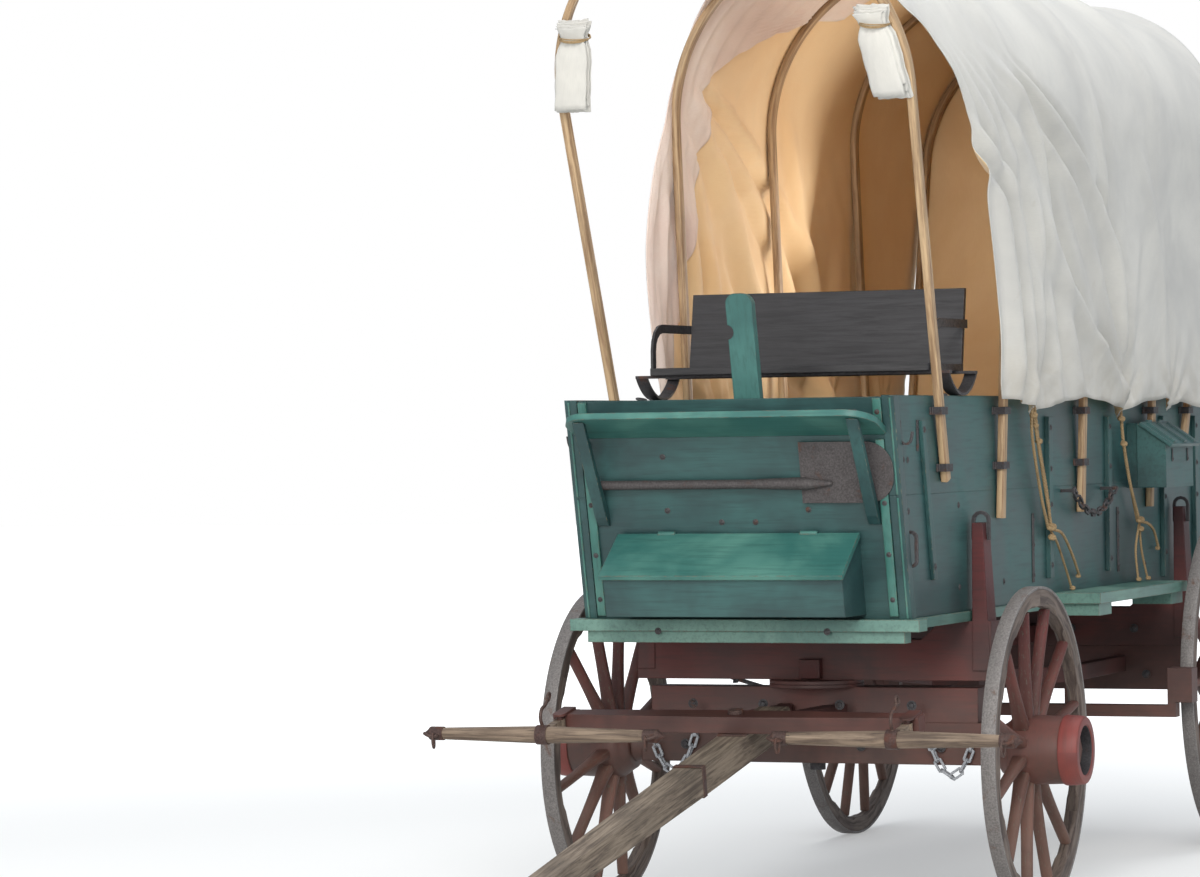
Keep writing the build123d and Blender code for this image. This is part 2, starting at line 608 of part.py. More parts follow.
BLADE_Y = (238.0, 560.0)
BLADE_Z = (1420.0, 1626.0)
BLADE_T = 4.0
blade_x = rake_front(sum(BLADE_Z) / 2) + BLADE_T
blade = Box(BLADE_T, BLADE_Y[1] - BLADE_Y[0], BLADE_Z[1] - BLADE_Z[0])
rounded = blade.edges().filter_by(Axis.X).group_by(Axis.Y)[-1]
blade = fillet(rounded, 90)
rake_deg = math.degrees(math.atan(RAKE))
blade = Pos(blade_x, sum(BLADE_Y) / 2, sum(BLADE_Z) / 2) * Rot(0, rake_deg, 0) * blade
HANDLE_Z = 1487.0
SOCKET_R = 22.0
HANDLE_X = rake_front(HANDLE_Z) - FRONT_SETBACK + SOCKET_R + 3 * FIT_GAP
socket = turned([(BLADE_Y[0] - 150, 0), (BLADE_Y[0] - 150, 17), (BLADE_Y[0] + 20, SOCKET_R),
                 (BLADE_Y[0] + 110, 6), (BLADE_Y[0] + 110, 0)], (HANDLE_X, 0, HANDLE_Z))
handle = rod((HANDLE_X, -470, HANDLE_Z), (HANDLE_X, BLADE_Y[0] - 148, HANDLE_Z), 15.5)
add("shovel", blade + socket + handle)

# Side tool box on the left, clear of the bow that passes behind it

SIDE_CHEST_X = (-WHEELBASE + 250.0, -WHEELBASE + 660.0)
SIDE_CHEST_Y = (BOX_HALF + 43.0, 722.0)
SIDE_CHEST_BOTTOM = 1422.0
SIDE_CHEST_BACK_TOP = COVER_HEM - 80.0
SIDE_CHEST_FRONT_TOP = SIDE_CHEST_BACK_TOP - 80.0
SIDE_WALL = 14.0
y0, y1 = SIDE_CHEST_Y
side_box = end_plate([(y0, SIDE_CHEST_BOTTOM), (y1, SIDE_CHEST_BOTTOM), (y1, SIDE_CHEST_FRONT_TOP),
                      (y0, SIDE_CHEST_BACK_TOP)], *SIDE_CHEST_X)
slope = (SIDE_CHEST_BACK_TOP - SIDE_CHEST_FRONT_TOP) / (y1 - y0)
side_box -= end_plate([(y0 + SIDE_WALL, SIDE_CHEST_BOTTOM + SIDE_WALL),
                       (y1 - SIDE_WALL, SIDE_CHEST_BOTTOM + SIDE_WALL),
                       (y1 - SIDE_WALL, SIDE_CHEST_FRONT_TOP + slope * SIDE_WALL + 60),
                       (y0 + SIDE_WALL, SIDE_CHEST_BACK_TOP - slope * SIDE_WALL + 60)],
                      SIDE_CHEST_X[0] + SIDE_WALL, SIDE_CHEST_X[1] - SIDE_WALL)
for x in (SIDE_CHEST_X[0] + 8, SIDE_CHEST_X[1] - 48):
    side_box += block(x, x + 40, BOX_HALF + FIT_GAP, y0, SIDE_CHEST_BOTTOM, SIDE_CHEST_BACK_TOP)
add("side_toolbox", side_box)

SIDE_LID_BACK = 12.0
side_lid_deg = math.degrees(math.atan(slope))
side_lid_len = math.hypot(y1 - y0, SIDE_CHEST_BACK_TOP - SIDE_CHEST_FRONT_TOP)
side_lid = Box(SIDE_CHEST_X[1] - SIDE_CHEST_X[0] + 24, side_lid_len + 12, SIDE_WALL,
               align=(Align.CENTER, Align.MIN, Align.MIN))
for x in (-150.0, 0.0, 150.0):
    side_lid += Pos(x, 14, SIDE_WALL) * Box(36, side_lid_len - 10, 9,
                                            align=(Align.CENTER, Align.MIN, Align.MIN))
for x in (-90.0, 90.0):
    side_lid += Pos(x, 0, SIDE_WALL) * (Rot(0, 90, 0) * Cylinder(LID_HINGE_R, LID_HINGE_W))
side_lid = Pos(sum(SIDE_CHEST_X) / 2, y0, SIDE_CHEST_BACK_TOP) * (
    Rot(-side_lid_deg, 0, 0) * (Pos(0, SIDE_LID_BACK, LID_SEAT) * side_lid))
add("side_toolbox_lid", side_lid)

# Step boards along both sides, on brackets fixed to the floor's edge

STEP_X = (-WHEELBASE + 442.0, -1012.0)
STEP_OUT = 742.0
STEP_TOP = 1056.0
STEP_T = 40.0
sill_face = BOX_HALF + SILL_PROUD + FIT_GAP
step = block(*STEP_X, sill_face, STEP_OUT, STEP_TOP - STEP_T, STEP_TOP)
step += block(*STEP_X, BOX_HALF + FIT_GAP, sill_face, FLOOR_TOP + FIT_GAP, STEP_TOP)
for x in (STEP_X[0] + 30, STEP_X[1] - 190):
    step += block(x, x + 170, sill_face, STEP_OUT - 12, STEP_TOP - STEP_T - 44,
                  STEP_TOP - STEP_T)
add("running_boards", both_sides(step))

# Cleats that tie the two boards of each side together

CLEAT_T = 18.0
CLEAT_W = 44.0
CORNER_W = 46.0
# Station, low, high
CLEATS = ((-950.0, 1112.0, 1700.0), (-1750.0, 1112.0, 1700.0),
          (-WHEELBASE + 140.0, 1062.0, 1700.0), (-WHEELBASE - 360.0, 1062.0, 1700.0))
cleats = Compound(children=[
    block(x - CLEAT_W / 2, x + CLEAT_W / 2, BOX_HALF + FIT_GAP, BOX_HALF + CLEAT_T, z0, z1)
    for x, z0, z1 in CLEATS])
# Leaning brace behind the front bow: station and height of its two ends
BRACE = ((421.0, 1155.0), (538.0, 1690.0))
BRACE_W = 34.0
BRACE_T = 14.0
brace_outline = [(x - BRACE_W / 2, z) for x, z in BRACE]
brace_outline += [(x + BRACE_W / 2, z) for x, z in BRACE[::-1]]
brace = side_plate(brace_outline, BOX_HALF + FIT_GAP, BOX_HALF + BRACE_T)
corner = side_plate([(rake_front(FLOOR_TOP) - CORNER_W, FLOOR_TOP + FIT_GAP),
                     (rake_front(FLOOR_TOP), FLOOR_TOP + FIT_GAP), (rake_front(BOX_TOP), BOX_TOP),
                     (rake_front(BOX_TOP) - CORNER_W, BOX_TOP)],
                    BOX_HALF + FIT_GAP, BOX_HALF + CLEAT_T)
cleat_set = [both_sides(piece).solids() for piece in (cleats, brace, corner)]
add("side_cleats", Compound(children=[solid for solids in cleat_set for solid in solids]))

# Bows


def arch_plane(station, base_z, lean_deg):
    """Plane of a bow: its local x runs along Y and its local y runs up the lean."""
    lean = math.radians(lean_deg)
    return Plane(origin=(station, 0, base_z), x_dir=(0, 1, 0),
                 z_dir=(math.cos(lean), 0, -math.sin(lean)))


def arch_edges(radius, centre, foot_y, foot_z, offset):
    """Leg, arc, leg: the bow's centre line moved outwards by offset, in its own plane."""
    reach_z = foot_z - centre
    away = math.hypot(foot_y, reach_z)
    turn = math.atan2(reach_z, foot_y) + math.acos(radius / away)
    normal = (math.cos(turn), math.sin(turn))
    foot = (foot_y + offset * normal[0], foot_z + offset * normal[1])
    join = ((radius + offset) * normal[0], centre + (radius + offset) * normal[1])
    top = (0.0, centre + radius + offset)
    return foot, join, top


def bow(station, base_z, lean_deg, radius, centre_z, foot_y=BOW_FOOT_Y):
    """One steam-bent bow standing in a plane that leans along the wagon."""
    lean = math.cos(math.radians(lean_deg))
    centre = (centre_z - base_z) / lean
    outer = arch_edges(radius, centre, foot_y, 0.0, BOW_T / 2)
    inner_line = arch_edges(radius, centre, foot_y, 0.0, -BOW_T / 2)
    edges = []
    for foot, join, top in (outer, inner_line):
        other = (-join[0], join[1])
        edges += [Line(foot, join), ThreePointArc(join, top, other), Line(other, (-foot[0], foot[1]))]
    edges += [Line(outer[0], inner_line[0]),
              Line((-outer[0][0], outer[0][1]), (-inner_line[0][0], inner_line[0][1]))]
    face = make_face(Curve() + edges)
    plane = arch_plane(station, base_z, lean_deg)
    return extrude(plane * face, amount=BOW_W / 2, both=True)


BOW_FOOT_Z = 1345.0
END_FOOT_Z = 1488.0
FRONT_BOW_X = 300.0
REAR_BOW_X = -WHEELBASE - 112.0
# Name, station, foot height, lean, arch radius, arch centre height
BOWS = (("bow_1", FRONT_BOW_X, END_FOOT_Z, END_LEAN_DEG, END_ARCH_R, END_ARCH_Z),
        ("bow_2", -330.0, BOW_FOOT_Z, 0.0, ARCH_R, ARCH_Z),
        ("bow_3", -1350.0, BOW_FOOT_Z, 0.0, ARCH_R, ARCH_Z),
        ("bow_4", -WHEELBASE + 370.0, BOW_FOOT_Z, 0.0, ARCH_R, ARCH_Z),
        ("bow_5", REAR_BOW_X, END_FOOT_Z, -END_LEAN_DEG, END_ARCH_R, END_ARCH_Z))
for name, *sizes in BOWS:
    add(name, bow(*sizes))

# Staples that hold the bows against the box


def leg_face(z, base_z, lean_deg, radius, centre_z):
    """How far out the outer face of a bow's leg is at height z."""
    cosine = math.cos(math.radians(lean_deg))
    foot, join, _ = arch_edges(radius, (centre_z - base_z) / cosine, BOW_FOOT_Y, 0.0, BOW_T / 2)
    rise = (z - base_z) / cosine
    return foot[0] + (join[0] - foot[0]) * (rise - foot[1]) / (join[1] - foot[1])


STAPLE_Z = (1530.0, 1722.0)
STAPLE_H = 26.0
STAPLE_T = 5.0
staples = []
for name, station, base_z, lean_deg, radius, centre_z in BOWS:
    for z in STAPLE_Z:
        x = station + (z - base_z) * math.tan(math.radians(lean_deg))
        wide = BOW_W / 2 / math.cos(math.radians(lean_deg)) + 6
        face = leg_face(z + STAPLE_H / 2, base_z, lean_deg, radius, centre_z) + FIT_GAP
        strap = block(x - wide - STAPLE_T - 16, x + wide + STAPLE_T + 16, BOX_HALF + FIT_GAP,
                      face + STAPLE_T, z - STAPLE_H / 2, z + STAPLE_H / 2)
        strap -= block(x - wide, x + wide, BOX_HALF, face, z - STAPLE_H, z + STAPLE_H)
        for edge in (-1, 1):
            outer_x = x + edge * (wide + STAPLE_T + 16)
            inner_x = x + edge * (wide + STAPLE_T)
            strap -= block(min(outer_x, inner_x), max(outer_x, inner_x), BOX_HALF + 6,
                           BOX_HALF + BOW_T + 40, z - STAPLE_H, z + STAPLE_H)
        staples.append(strap)
add("bow_staples", both_sides(Compound(children=staples)))

# Cover

COVER_IN = ARCH_R + BOW_T / 2 + FIT_GAP
COVER_OUT = COVER_IN + COVER_T


def tunnel(radius, x0, x1):
    """A closed arch-topped block: straight walls below the arch's centre, half a circle above."""
    edges = [Line((x0, -radius, COVER_HEM), (x0, radius, COVER_HEM)),
             Line((x0, radius, COVER_HEM), (x0, radius, ARCH_Z)),
             ThreePointArc((x0, radius, ARCH_Z), (x0, 0, ARCH_Z + radius), (x0, -radius, ARCH_Z)),
             Line((x0, -radius, ARCH_Z), (x0, -radius, COVER_HEM))]
    return extrude(make_face(Curve() + edges), amount=x1 - x0, dir=(1, 0, 0))


# Front edge of the cover in side view: hem, sweep of the open mouth, then the peak over bow 1
FRONT_PEAK_X = 985.0
FRONT_EDGE = ((-180.0, COVER_HEM), (-15.0, 2460.0), (125.0, 2730.0), (430.0, 2962.0),
              (905.0, 3170.0), (FRONT_PEAK_X, ARCH_Z + COVER_OUT))
CURTAIN_T = 6.0
REAR_LIP = 14.0
lean = math.radians(END_LEAN_DEG)
rear_offset = (BOW_W / 2 + FIT_GAP + CURTAIN_T + REAR_LIP) / math.cos(lean)


def rear_edge_x(z):
    """Station of the cover's rear edge, which leans with the last bow just behind the curtain."""
    return REAR_BOW_X - (z - END_FOOT_Z) * math.tan(lean) - rear_offset


def cover_outline():
    """Side view of the cover: swept open mouth in front, straight leaning edge behind."""
    top = ARCH_Z + COVER_OUT + COVER_T
    hem, low, mid, high, brow, peak = [Vector(x, 0, z) for x, z in FRONT_EDGE]
    front_top = Vector(FRONT_PEAK_X, 0, top)
    rear_top = Vector(rear_edge_x(top), 0, top)
    rear_hem = Vector(rear_edge_x(COVER_HEM), 0, COVER_HEM)
    edges = [Line(hem, low), ThreePointArc(low, mid, high), Line(high, brow), Line(brow, peak),
             Line(peak, front_top), Line(front_top, rear_top), Line(rear_top, rear_hem),
             Line(rear_hem, hem)]
    return make_face(Curve() + edges)


tunnel_ends = (rear_edge_x(ARCH_Z + COVER_OUT) - COVER_OUT, FRONT_PEAK_X + COVER_OUT)
shell = tunnel(COVER_OUT, *tunnel_ends) - tunnel(COVER_IN, *tunnel_ends)
side_view = extrude(Pos(0, -COVER_OUT * 2, 0) * cover_outline(), amount=COVER_OUT * 4,
                    dir=(0, 1, 0))
add("cover", shell & side_view)

# Rear curtain: a flat sheet behind the last bow, which closes the cover down to the tailgate

CURTAIN_LOW = BOX_TOP + 12
curtain_plane = arch_plane(REAR_BOW_X, END_FOOT_Z, -END_LEAN_DEG)
curtain_centre = (END_ARCH_Z - END_FOOT_Z) / math.cos(lean)
curtain_base = (CURTAIN_LOW - END_FOOT_Z) / math.cos(lean)
curtain_r = END_ARCH_R + BOW_T / 2
curtain_wire = [Line((-curtain_r + 26, curtain_base), (curtain_r - 26, curtain_base)),
                Line((curtain_r - 26, curtain_base), (curtain_r, curtain_centre)),
                ThreePointArc((curtain_r, curtain_centre), (0, curtain_centre + curtain_r),
                              (-curtain_r, curtain_centre)),
                Line((-curtain_r, curtain_centre), (-curtain_r + 26, curtain_base))]
behind = BOW_W / 2 + FIT_GAP
curtain = extrude(curtain_plane.offset(-behind) * make_face(Curve() + curtain_wire),
                  amount=-CURTAIN_T)
add("rear_curtain", curtain)

# Folded ends of the front curtain, tied up on bow 1

ROLL_T = 34.0
ROLL_W = 118.0
ROLL_LOW = ARCH_Z + 25.0
ROLL_HIGH = ARCH_Z + 295.0
ROLL_Y = END_ARCH_R - 81.0
roll_plane = arch_plane(FRONT_BOW_X, END_FOOT_Z, END_LEAN_DEG).offset(BOW_W / 2 + FIT_GAP)
roll_v = [(z - END_FOOT_Z) / math.cos(lean) for z in (ROLL_LOW, ROLL_HIGH)]
roll_face = Pos(ROLL_Y, sum(roll_v) / 2) * Rectangle(ROLL_W, roll_v[1] - roll_v[0])
roll_shape = extrude(roll_plane * roll_face, amount=ROLL_T)
add("cover_ties", both_sides(roll_shape & tunnel(COVER_IN - 1, 0, FRONT_PEAK_X + COVER_OUT)))

# Seat on two side springs that stand on the edges of the box

SEAT_X = (-120.0, 262.0)
SEAT_HALF = 505.0
SEAT_BOTTOM = 1860.0
SEAT_T = 25.0
SEAT_BACK_TOP = 2150.0
SPRING_Y = BOX_HALF - BOARD_T / 2
SPRING_W = 44.0
SPRING_T = 9.0
seat = block(*SEAT_X, -SEAT_HALF, SEAT_HALF, SEAT_BOTTOM, SEAT_BOTTOM + SEAT_T)
SEAT_BACK_T = 22.0
SEAT_BACK_LEAN = 48.0
back_x = SEAT_X[0] - FIT_GAP
seat_back = side_plate([(back_x - SEAT_BACK_T, SEAT_BOTTOM), (back_x, SEAT_BOTTOM),
                        (back_x, SEAT_BOTTOM + SEAT_T),
                        (back_x - SEAT_BACK_LEAN, SEAT_BACK_TOP),
                        (back_x - SEAT_BACK_LEAN - SEAT_BACK_T, SEAT_BACK_TOP),
                        (back_x - SEAT_BACK_T, SEAT_BOTTOM + SEAT_T)], -SEAT_HALF, SEAT_HALF)
add("seat_board", seat)

# Bent iron arms on the ends of the seat, from its back round to the front of its board
ARM_T = 9.0
ARM_W = 30.0
ARM_BEND = 95.0
ARM_Z = 2040.0
ARM_FRONT = SEAT_X[1] - 30.0
arm_line = [(ARM_FRONT, SEAT_BOTTOM)]
arm_line += bend((ARM_FRONT - ARM_BEND, ARM_Z - ARM_BEND), ARM_BEND, 0.0, 90.0)
arm_line += [(back_x - SEAT_BACK_LEAN, ARM_Z)]
arm_y = SEAT_HALF + FIT_GAP
arm = bent_bar(arm_line, ARM_W, arm_y, arm_y + ARM_T, side_plate)
seat_back = seat_back + arm + mirrored(arm)
add("seat_back", seat_back)

BAR_H = 10.0
springs = []
for x in (SEAT_X[0] + 30, SEAT_X[1] - 62):
    springs.append(block(x, x + 32, -SPRING_Y - SPRING_W / 2, SPRING_Y + SPRING_W / 2,
                         SEAT_BOTTOM - BAR_H, SEAT_BOTTOM))
spring_mid = (SEAT_X[0] + SEAT_X[1]) / 2
low_z = BOX_TOP + FIT_GAP
end_z = SEAT_BOTTOM - BAR_H


def leaf(y):
    """One bowed leaf spring: it rests on the box edge at its middle and rises to both bars."""
    a = (SEAT_X[0] + 34, y, end_z)
    b = (spring_mid, y, low_z)
    c = (SEAT_X[1] - 34, y, end_z)
    lower = ThreePointArc(a, b, c)
    a2, b2, c2 = ((p[0], p[1], p[2] + SPRING_T) for p in (a, b, c))
    upper = ThreePointArc(a2, b2, c2)
    face = make_face(Curve() + [lower, upper, Line(a, a2), Line(c, c2)])
    return extrude(face, amount=SPRING_W, dir=(0, 1, 0))


spring = leaf(SPRING_Y - SPRING_W / 2)
spring_set = springs[0] + springs[1] + spring + mirrored(spring)
add("seat_springs", spring_set - seat)

# Irons on the box: stake rings, hooks, a grab handle, straps, the swag chain and the brake lever


def stake_ring(station):
    """An iron staple over the top of a left-hand stake, to hang tackle from."""
    inside = STAKE_INNER - FIT_GAP
    outside = STAKE_INNER + STAKE_TIP_W + STAKE_RING_SLACK
    middle = (inside + outside) / 2
    radius = (outside - inside) / 2
    spring = STAKE_TOP + STAKE_RING_RISE - STAKE_RING_T - radius
    line = [(outside, STAKE_TOP - STAKE_RING_LEG)]
    line += bend((middle, spring), radius, 0.0, 180.0, 6)
    line += [(inside, STAKE_TOP - STAKE_RING_LEG)]
    return bent_bar(line[::-1], STAKE_RING_T, station - STAKE_RING_T / 2,
                    station + STAKE_RING_T / 2, end_plate)


LINK_L = 58.0
LINK_W = 30.0
LINK_T = 8.0
LINK_NOSE = 0.3
CHAIN_STEPS = 400


def chain_link():
    """One long link along X, flat in the XZ plane, with cut-off corners."""
    def ring(length, width):
        nose = width * LINK_NOSE
        return [(-length / 2, 0), (-length / 2 + nose, width / 2),
                (length / 2 - nose, width / 2), (length / 2, 0),
                (length / 2 - nose, -width / 2), (-length / 2 + nose, -width / 2)]
    outer = side_plate(ring(LINK_L, LINK_W), -LINK_T / 2, LINK_T / 2)
    return outer - side_plate(ring(LINK_L - 2 * LINK_T, LINK_W - 2 * LINK_T), -LINK_T, LINK_T)


def hanging_chain(start, end, sag, links):
    """Links fused into a chain that hangs in a parabola; every second link is turned on edge."""
    first = Vector(*start)
    span = Vector(*end) - first
    chain = None
    steps = CHAIN_STEPS
    places = []
    for step in range(steps + 1):
        share = step / steps
        places.append(first + span * share - Vector(0, 0, 4 * sag * share * (1 - share)))
    run = [0.0]
    for before, after in zip(places, places[1:]):
        run.append(run[-1] + (after - before).length)
    pitch = run[-1] / links
    for index in range(links):
        ends = [min(range(steps + 1), key=lambda step: abs(run[step] - pitch * place))
                for place in (index, index + 1)]
        near, far = places[ends[0]], places[ends[1]]
        ahead = far - near
        across = ahead.cross(Vector(0, 0, 1))
        plane = Plane(origin=(near + far) * 0.5, x_dir=ahead, z_dir=ahead.cross(across))
        link = chain_link()
        link = Rot(90.0 * (index % 2), 0, 0) * link
        link = plane.location * link
        chain = link if chain is None else chain + link
    return chain


front_ring = stake_ring(0.0)
rear_ring = stake_ring(-WHEELBASE)
irons = [front_ring, mirrored(front_ring), rear_ring, mirrored(rear_ring)]

SIDE_FACE = BOX_HALF + FIT_GAP
HOOK_X = 762.0
HOOK_Z = 1640.0
HOOK_T = 7.0
HOOK_R = 17.0
HOOK_SHANK = 52.0
HOOK_TIP = 14.0
hook_back = SIDE_FACE + HOOK_T
hook_line = [(hook_back, HOOK_Z + HOOK_SHANK), (hook_back, HOOK_Z + HOOK_TIP)]
hook_line += bend((hook_back + HOOK_R, HOOK_Z - HOOK_T), HOOK_R, 180.0, 360.0, 5)
hook_line += [(hook_back + 2 * HOOK_R + HOOK_T / 2, HOOK_Z + HOOK_TIP)]
hook = bent_bar(hook_line[::-1], HOOK_T, HOOK_X - HOOK_T, HOOK_X + HOOK_T, end_plate)
irons += [hook, mirrored(hook)]

HANDLE_STATION = 675.0
HANDLE_MID_Z = 1265.0
HANDLE_HALF = 62.0
HANDLE_OUT = 34.0
HANDLE_T = 11.0
HANDLE_BEND = 24.0
grab_y = BOX_HALF + HANDLE_OUT - HANDLE_BEND
grab_low = HANDLE_MID_Z - HANDLE_HALF
grab_high = HANDLE_MID_Z + HANDLE_HALF
grab_line = [(SIDE_FACE, grab_low)]
grab_line += bend((grab_y, grab_low + HANDLE_BEND), HANDLE_BEND, 270.0, 360.0)
grab_line += bend((grab_y, grab_high - HANDLE_BEND), HANDLE_BEND, 0.0, 90.0)
grab_line += [(SIDE_FACE, grab_high)]
grab = bent_bar(grab_line, HANDLE_T, HANDLE_STATION - HANDLE_T / 2, HANDLE_STATION + HANDLE_T / 2,
                end_plate)
irons += [grab, mirrored(grab)]

# Plate with two holes beside the brace, on the left only
KEEPER_X = 567.0
KEEPER_W = 18.0
KEEPER_Z = (1588.0, 1692.0)
KEEPER_HOLE_R = 4.5
PLATE_T = 4.0
keeper = block(KEEPER_X - KEEPER_W / 2, KEEPER_X + KEEPER_W / 2, SIDE_FACE, BOX_HALF + PLATE_T,
               *KEEPER_Z)
for z in (KEEPER_Z[0] + 24, KEEPER_Z[1] - 24):
    keeper -= rod((KEEPER_X, BOX_HALF, z), (KEEPER_X, BOX_HALF + 2 * PLATE_T, z), KEEPER_HOLE_R)
irons.append(keeper)
# Straps that tie the lower board to the sill
STRAP_X = (-760.0, -1900.0)
STRAP_W = 22.0
STRAP_Z = (1104.0, 1352.0)
for x in STRAP_X:
    strap = block(x - STRAP_W / 2, x + STRAP_W / 2, SIDE_FACE, BOX_HALF + PLATE_T, *STRAP_Z)
    irons += [strap, mirrored(strap)]

SWAG_ENDS = ((-1120.0, 1430.0), (-1680.0, 1430.0))
SWAG_Y = BOX_HALF + BOW_T + 28.0
SWAG_SAG = 90.0
SWAG_LINKS = 14
EYE_T = 10.0
swag = hanging_chain((SWAG_ENDS[0][0], SWAG_Y, SWAG_ENDS[0][1]),
                     (SWAG_ENDS[1][0], SWAG_Y, SWAG_ENDS[1][1]), SWAG_SAG, SWAG_LINKS)
swag_mid = sum(x for x, _ in SWAG_ENDS) / 2
for x, z in SWAG_ENDS:
    eye_x = x - math.copysign(LINK_T + 3, x - swag_mid)
    swag += block(eye_x - EYE_T / 2, eye_x + EYE_T / 2, SIDE_FACE, SWAG_Y + LINK_T, z - 9, z + 3)
irons.append(swag)

# Brake lever on the right: a bar on the box side, its rack, and the rod back to the beam
LEVER_X = -900.0
LEVER_PIVOT_Z = 1120.0
LEVER_LOW_Z = 730.0
LEVER_TOP_Z = 1700.0
LEVER_LEAN = 150.0
LEVER_W = 40.0
LEVER_T = 12.0
LEVER_LOW_W = 28.0
LEVER_TOP_W = 22.0
RACK_X = (-1160.0, -840.0)
RACK_Z = (1392.0, 1424.0)
RACK_FOOT = 40.0
BRAKE_ROD_R = 8.0
BRAKE_ROD_UP = 20.0
BRAKE_ROD_END = 1.6
lever_y = BOX_HALF + CLEAT_T + LEVER_T


def lever_x(z):
    """Station of the lever's middle at height z: it leans back as it rises."""
    return LEVER_X - LEVER_LEAN * (z - LEVER_PIVOT_Z) / (LEVER_TOP_Z - LEVER_PIVOT_Z)


# Height and width of the lever, from its low end to its hand grip
LEVER_SHAPE = ((LEVER_LOW_Z, LEVER_LOW_W), (LEVER_PIVOT_Z, LEVER_W), (LEVER_TOP_Z, LEVER_TOP_W))
lever_outline = [(lever_x(z) + width / 2, z) for z, width in LEVER_SHAPE]
lever_outline += [(lever_x(z) - width / 2, z) for z, width in LEVER_SHAPE[::-1]]
lever_face = lever_y + LEVER_T
lever = side_plate(lever_outline, lever_y, lever_face)
lever += rod((LEVER_X, SIDE_FACE, LEVER_PIVOT_Z), (LEVER_X, lever_face + 9, LEVER_PIVOT_Z), 13)
rack_y = BOX_HALF + CLEAT_T + FIT_GAP
lever += block(*RACK_X, rack_y, lever_y, *RACK_Z)
lever += block(RACK_X[1] - RACK_FOOT, RACK_X[1], SIDE_FACE, rack_y, *RACK_Z)
rod_y = lever_face + FIT_GAP + BRAKE_ROD_R
brake_rod = rod((lever_x(LEVER_LOW_Z), rod_y, LEVER_LOW_Z + BRAKE_ROD_UP),
                (BRAKE_X + BEAM_T / 2 + BRAKE_ROD_END, rod_y, BRAKE_BEAM_TOP - BRAKE_BEAM_H / 2),
                BRAKE_ROD_R)
irons += [mirrored(lever), mirrored(brake_rod)]
add("box_irons", Compound(children=[solid for piece in irons for solid in piece.solids()]))

# Stay chains, hung up in a loop on the front of the axle bed
STAY_Y = (430.0, 592.0)
STAY_X = AXLE_TIMBER_T / 2 + 20.0
STAY_Z = FRONT_AXLE_TOP - 52.0
STAY_SAG = 132.0
STAY_LINKS = 8
stay = hanging_chain((STAY_X, STAY_Y[0], STAY_Z), (STAY_X, STAY_Y[1], STAY_Z), STAY_SAG, STAY_LINKS)
for y in STAY_Y:
    stay += block(AXLE_TIMBER_T / 2 + FIT_GAP, STAY_X + 10, y - EYE_T / 2, y + EYE_T / 2,
                  STAY_Z - 4, STAY_Z + 8)
add("stay_chains", both_sides(stay))

# Tongue, built level about its pin and then lowered until its tip lies on the ground


def tongue_half_height(x):
    """Half the depth of the level tongue at station x, where it tapers towards the tip."""
    along = (x - PIVOT_X - TONGUE_STRAIGHT) / (TONGUE_L - TONGUE_CAP_L - TONGUE_STRAIGHT)
    return (TONGUE_ROOT_H + (TONGUE_TIP - TONGUE_ROOT_H) * along) / 2


def tongue_shapes():
    """Tongue, its irons, doubletree, singletrees and neck yoke, all in the level position."""
    root = Plane(origin=(PIVOT_X, 0, PIVOT_Z), x_dir=(0, 1, 0), z_dir=(1, 0, 0))
    half_h = TONGUE_ROOT_H / 2
    half_w = TONGUE_ROOT_W / 2
    straight = block(PIVOT_X, PIVOT_X + TONGUE_STRAIGHT, -half_w, half_w, PIVOT_Z - half_h,
                     PIVOT_Z + half_h)
    straight += Pos(PIVOT_X, 0, PIVOT_Z) * Rot(90, 0, 0) * Cylinder(half_h, TONGUE_ROOT_W)
    cap_start = TONGUE_L - TONGUE_CAP_L
    body = loft([root.offset(TONGUE_STRAIGHT) * Rectangle(TONGUE_ROOT_W, TONGUE_ROOT_H),
                 root.offset(cap_start) * Rectangle(TONGUE_TIP, TONGUE_TIP)])
    nose = extrude(root.offset(cap_start) * Rectangle(TONGUE_TIP, TONGUE_TIP),
                   amount=TONGUE_CAP_L - TONGUE_CAP_T - FIT_GAP)
    shaft = straight + body + nose
    shaft -= Pos(PIVOT_X, 0, PIVOT_Z) * Rot(90, 0, 0) * Cylinder(PIVOT_PIN_R + RUN_GAP,
                                                                 TONGUE_ROOT_W * 2)
    cap_out = TONGUE_TIP + 2 * TONGUE_CAP_T
    cap = extrude(root.offset(cap_start) * Rectangle(cap_out + 2 * FIT_GAP, cap_out + 2 * FIT_GAP),
                  amount=TONGUE_CAP_L)
    cap -= extrude(root.offset(cap_start) * Rectangle(TONGUE_TIP + 2 * FIT_GAP,
                                                      TONGUE_TIP + 2 * FIT_GAP),
                   amount=TONGUE_CAP_L - TONGUE_CAP_T)
    return shaft, cap


tongue, tongue_cap = tongue_shapes()
top_z = PIVOT_Z + TONGUE_ROOT_H / 2
tree_x = PIVOT_X + DOUBLETREE_X
WEAR_PLATE_T = 6.0
BAR_GAP = 1.0
tree_z0 = top_z + WEAR_PLATE_T + BAR_GAP
tree_z1 = tree_z0 + DOUBLETREE_T
TREE_PIN_R = 13.0
wear_plate = block(tree_x - 60, tree_x + 60, -TONGUE_ROOT_W / 2, TONGUE_ROOT_W / 2, top_z,
                   top_z + WEAR_PLATE_T)
tree_pin = rod((tree_x, 0, PIVOT_Z - TONGUE_ROOT_H / 2 - 18), (tree_x, 0, tree_z1 + 14), TREE_PIN_R)
tree_pin += rod((tree_x, 0, tree_z1 + BAR_GAP), (tree_x, 0, tree_z1 + 14), TREE_PIN_R * 2)
tongue -= rod((tree_x, 0, PIVOT_Z - TONGUE_ROOT_H), (tree_x, 0, top_z), TREE_PIN_R + FIT_GAP)
tongue_irons = [wear_plate + tree_pin, tongue_cap]

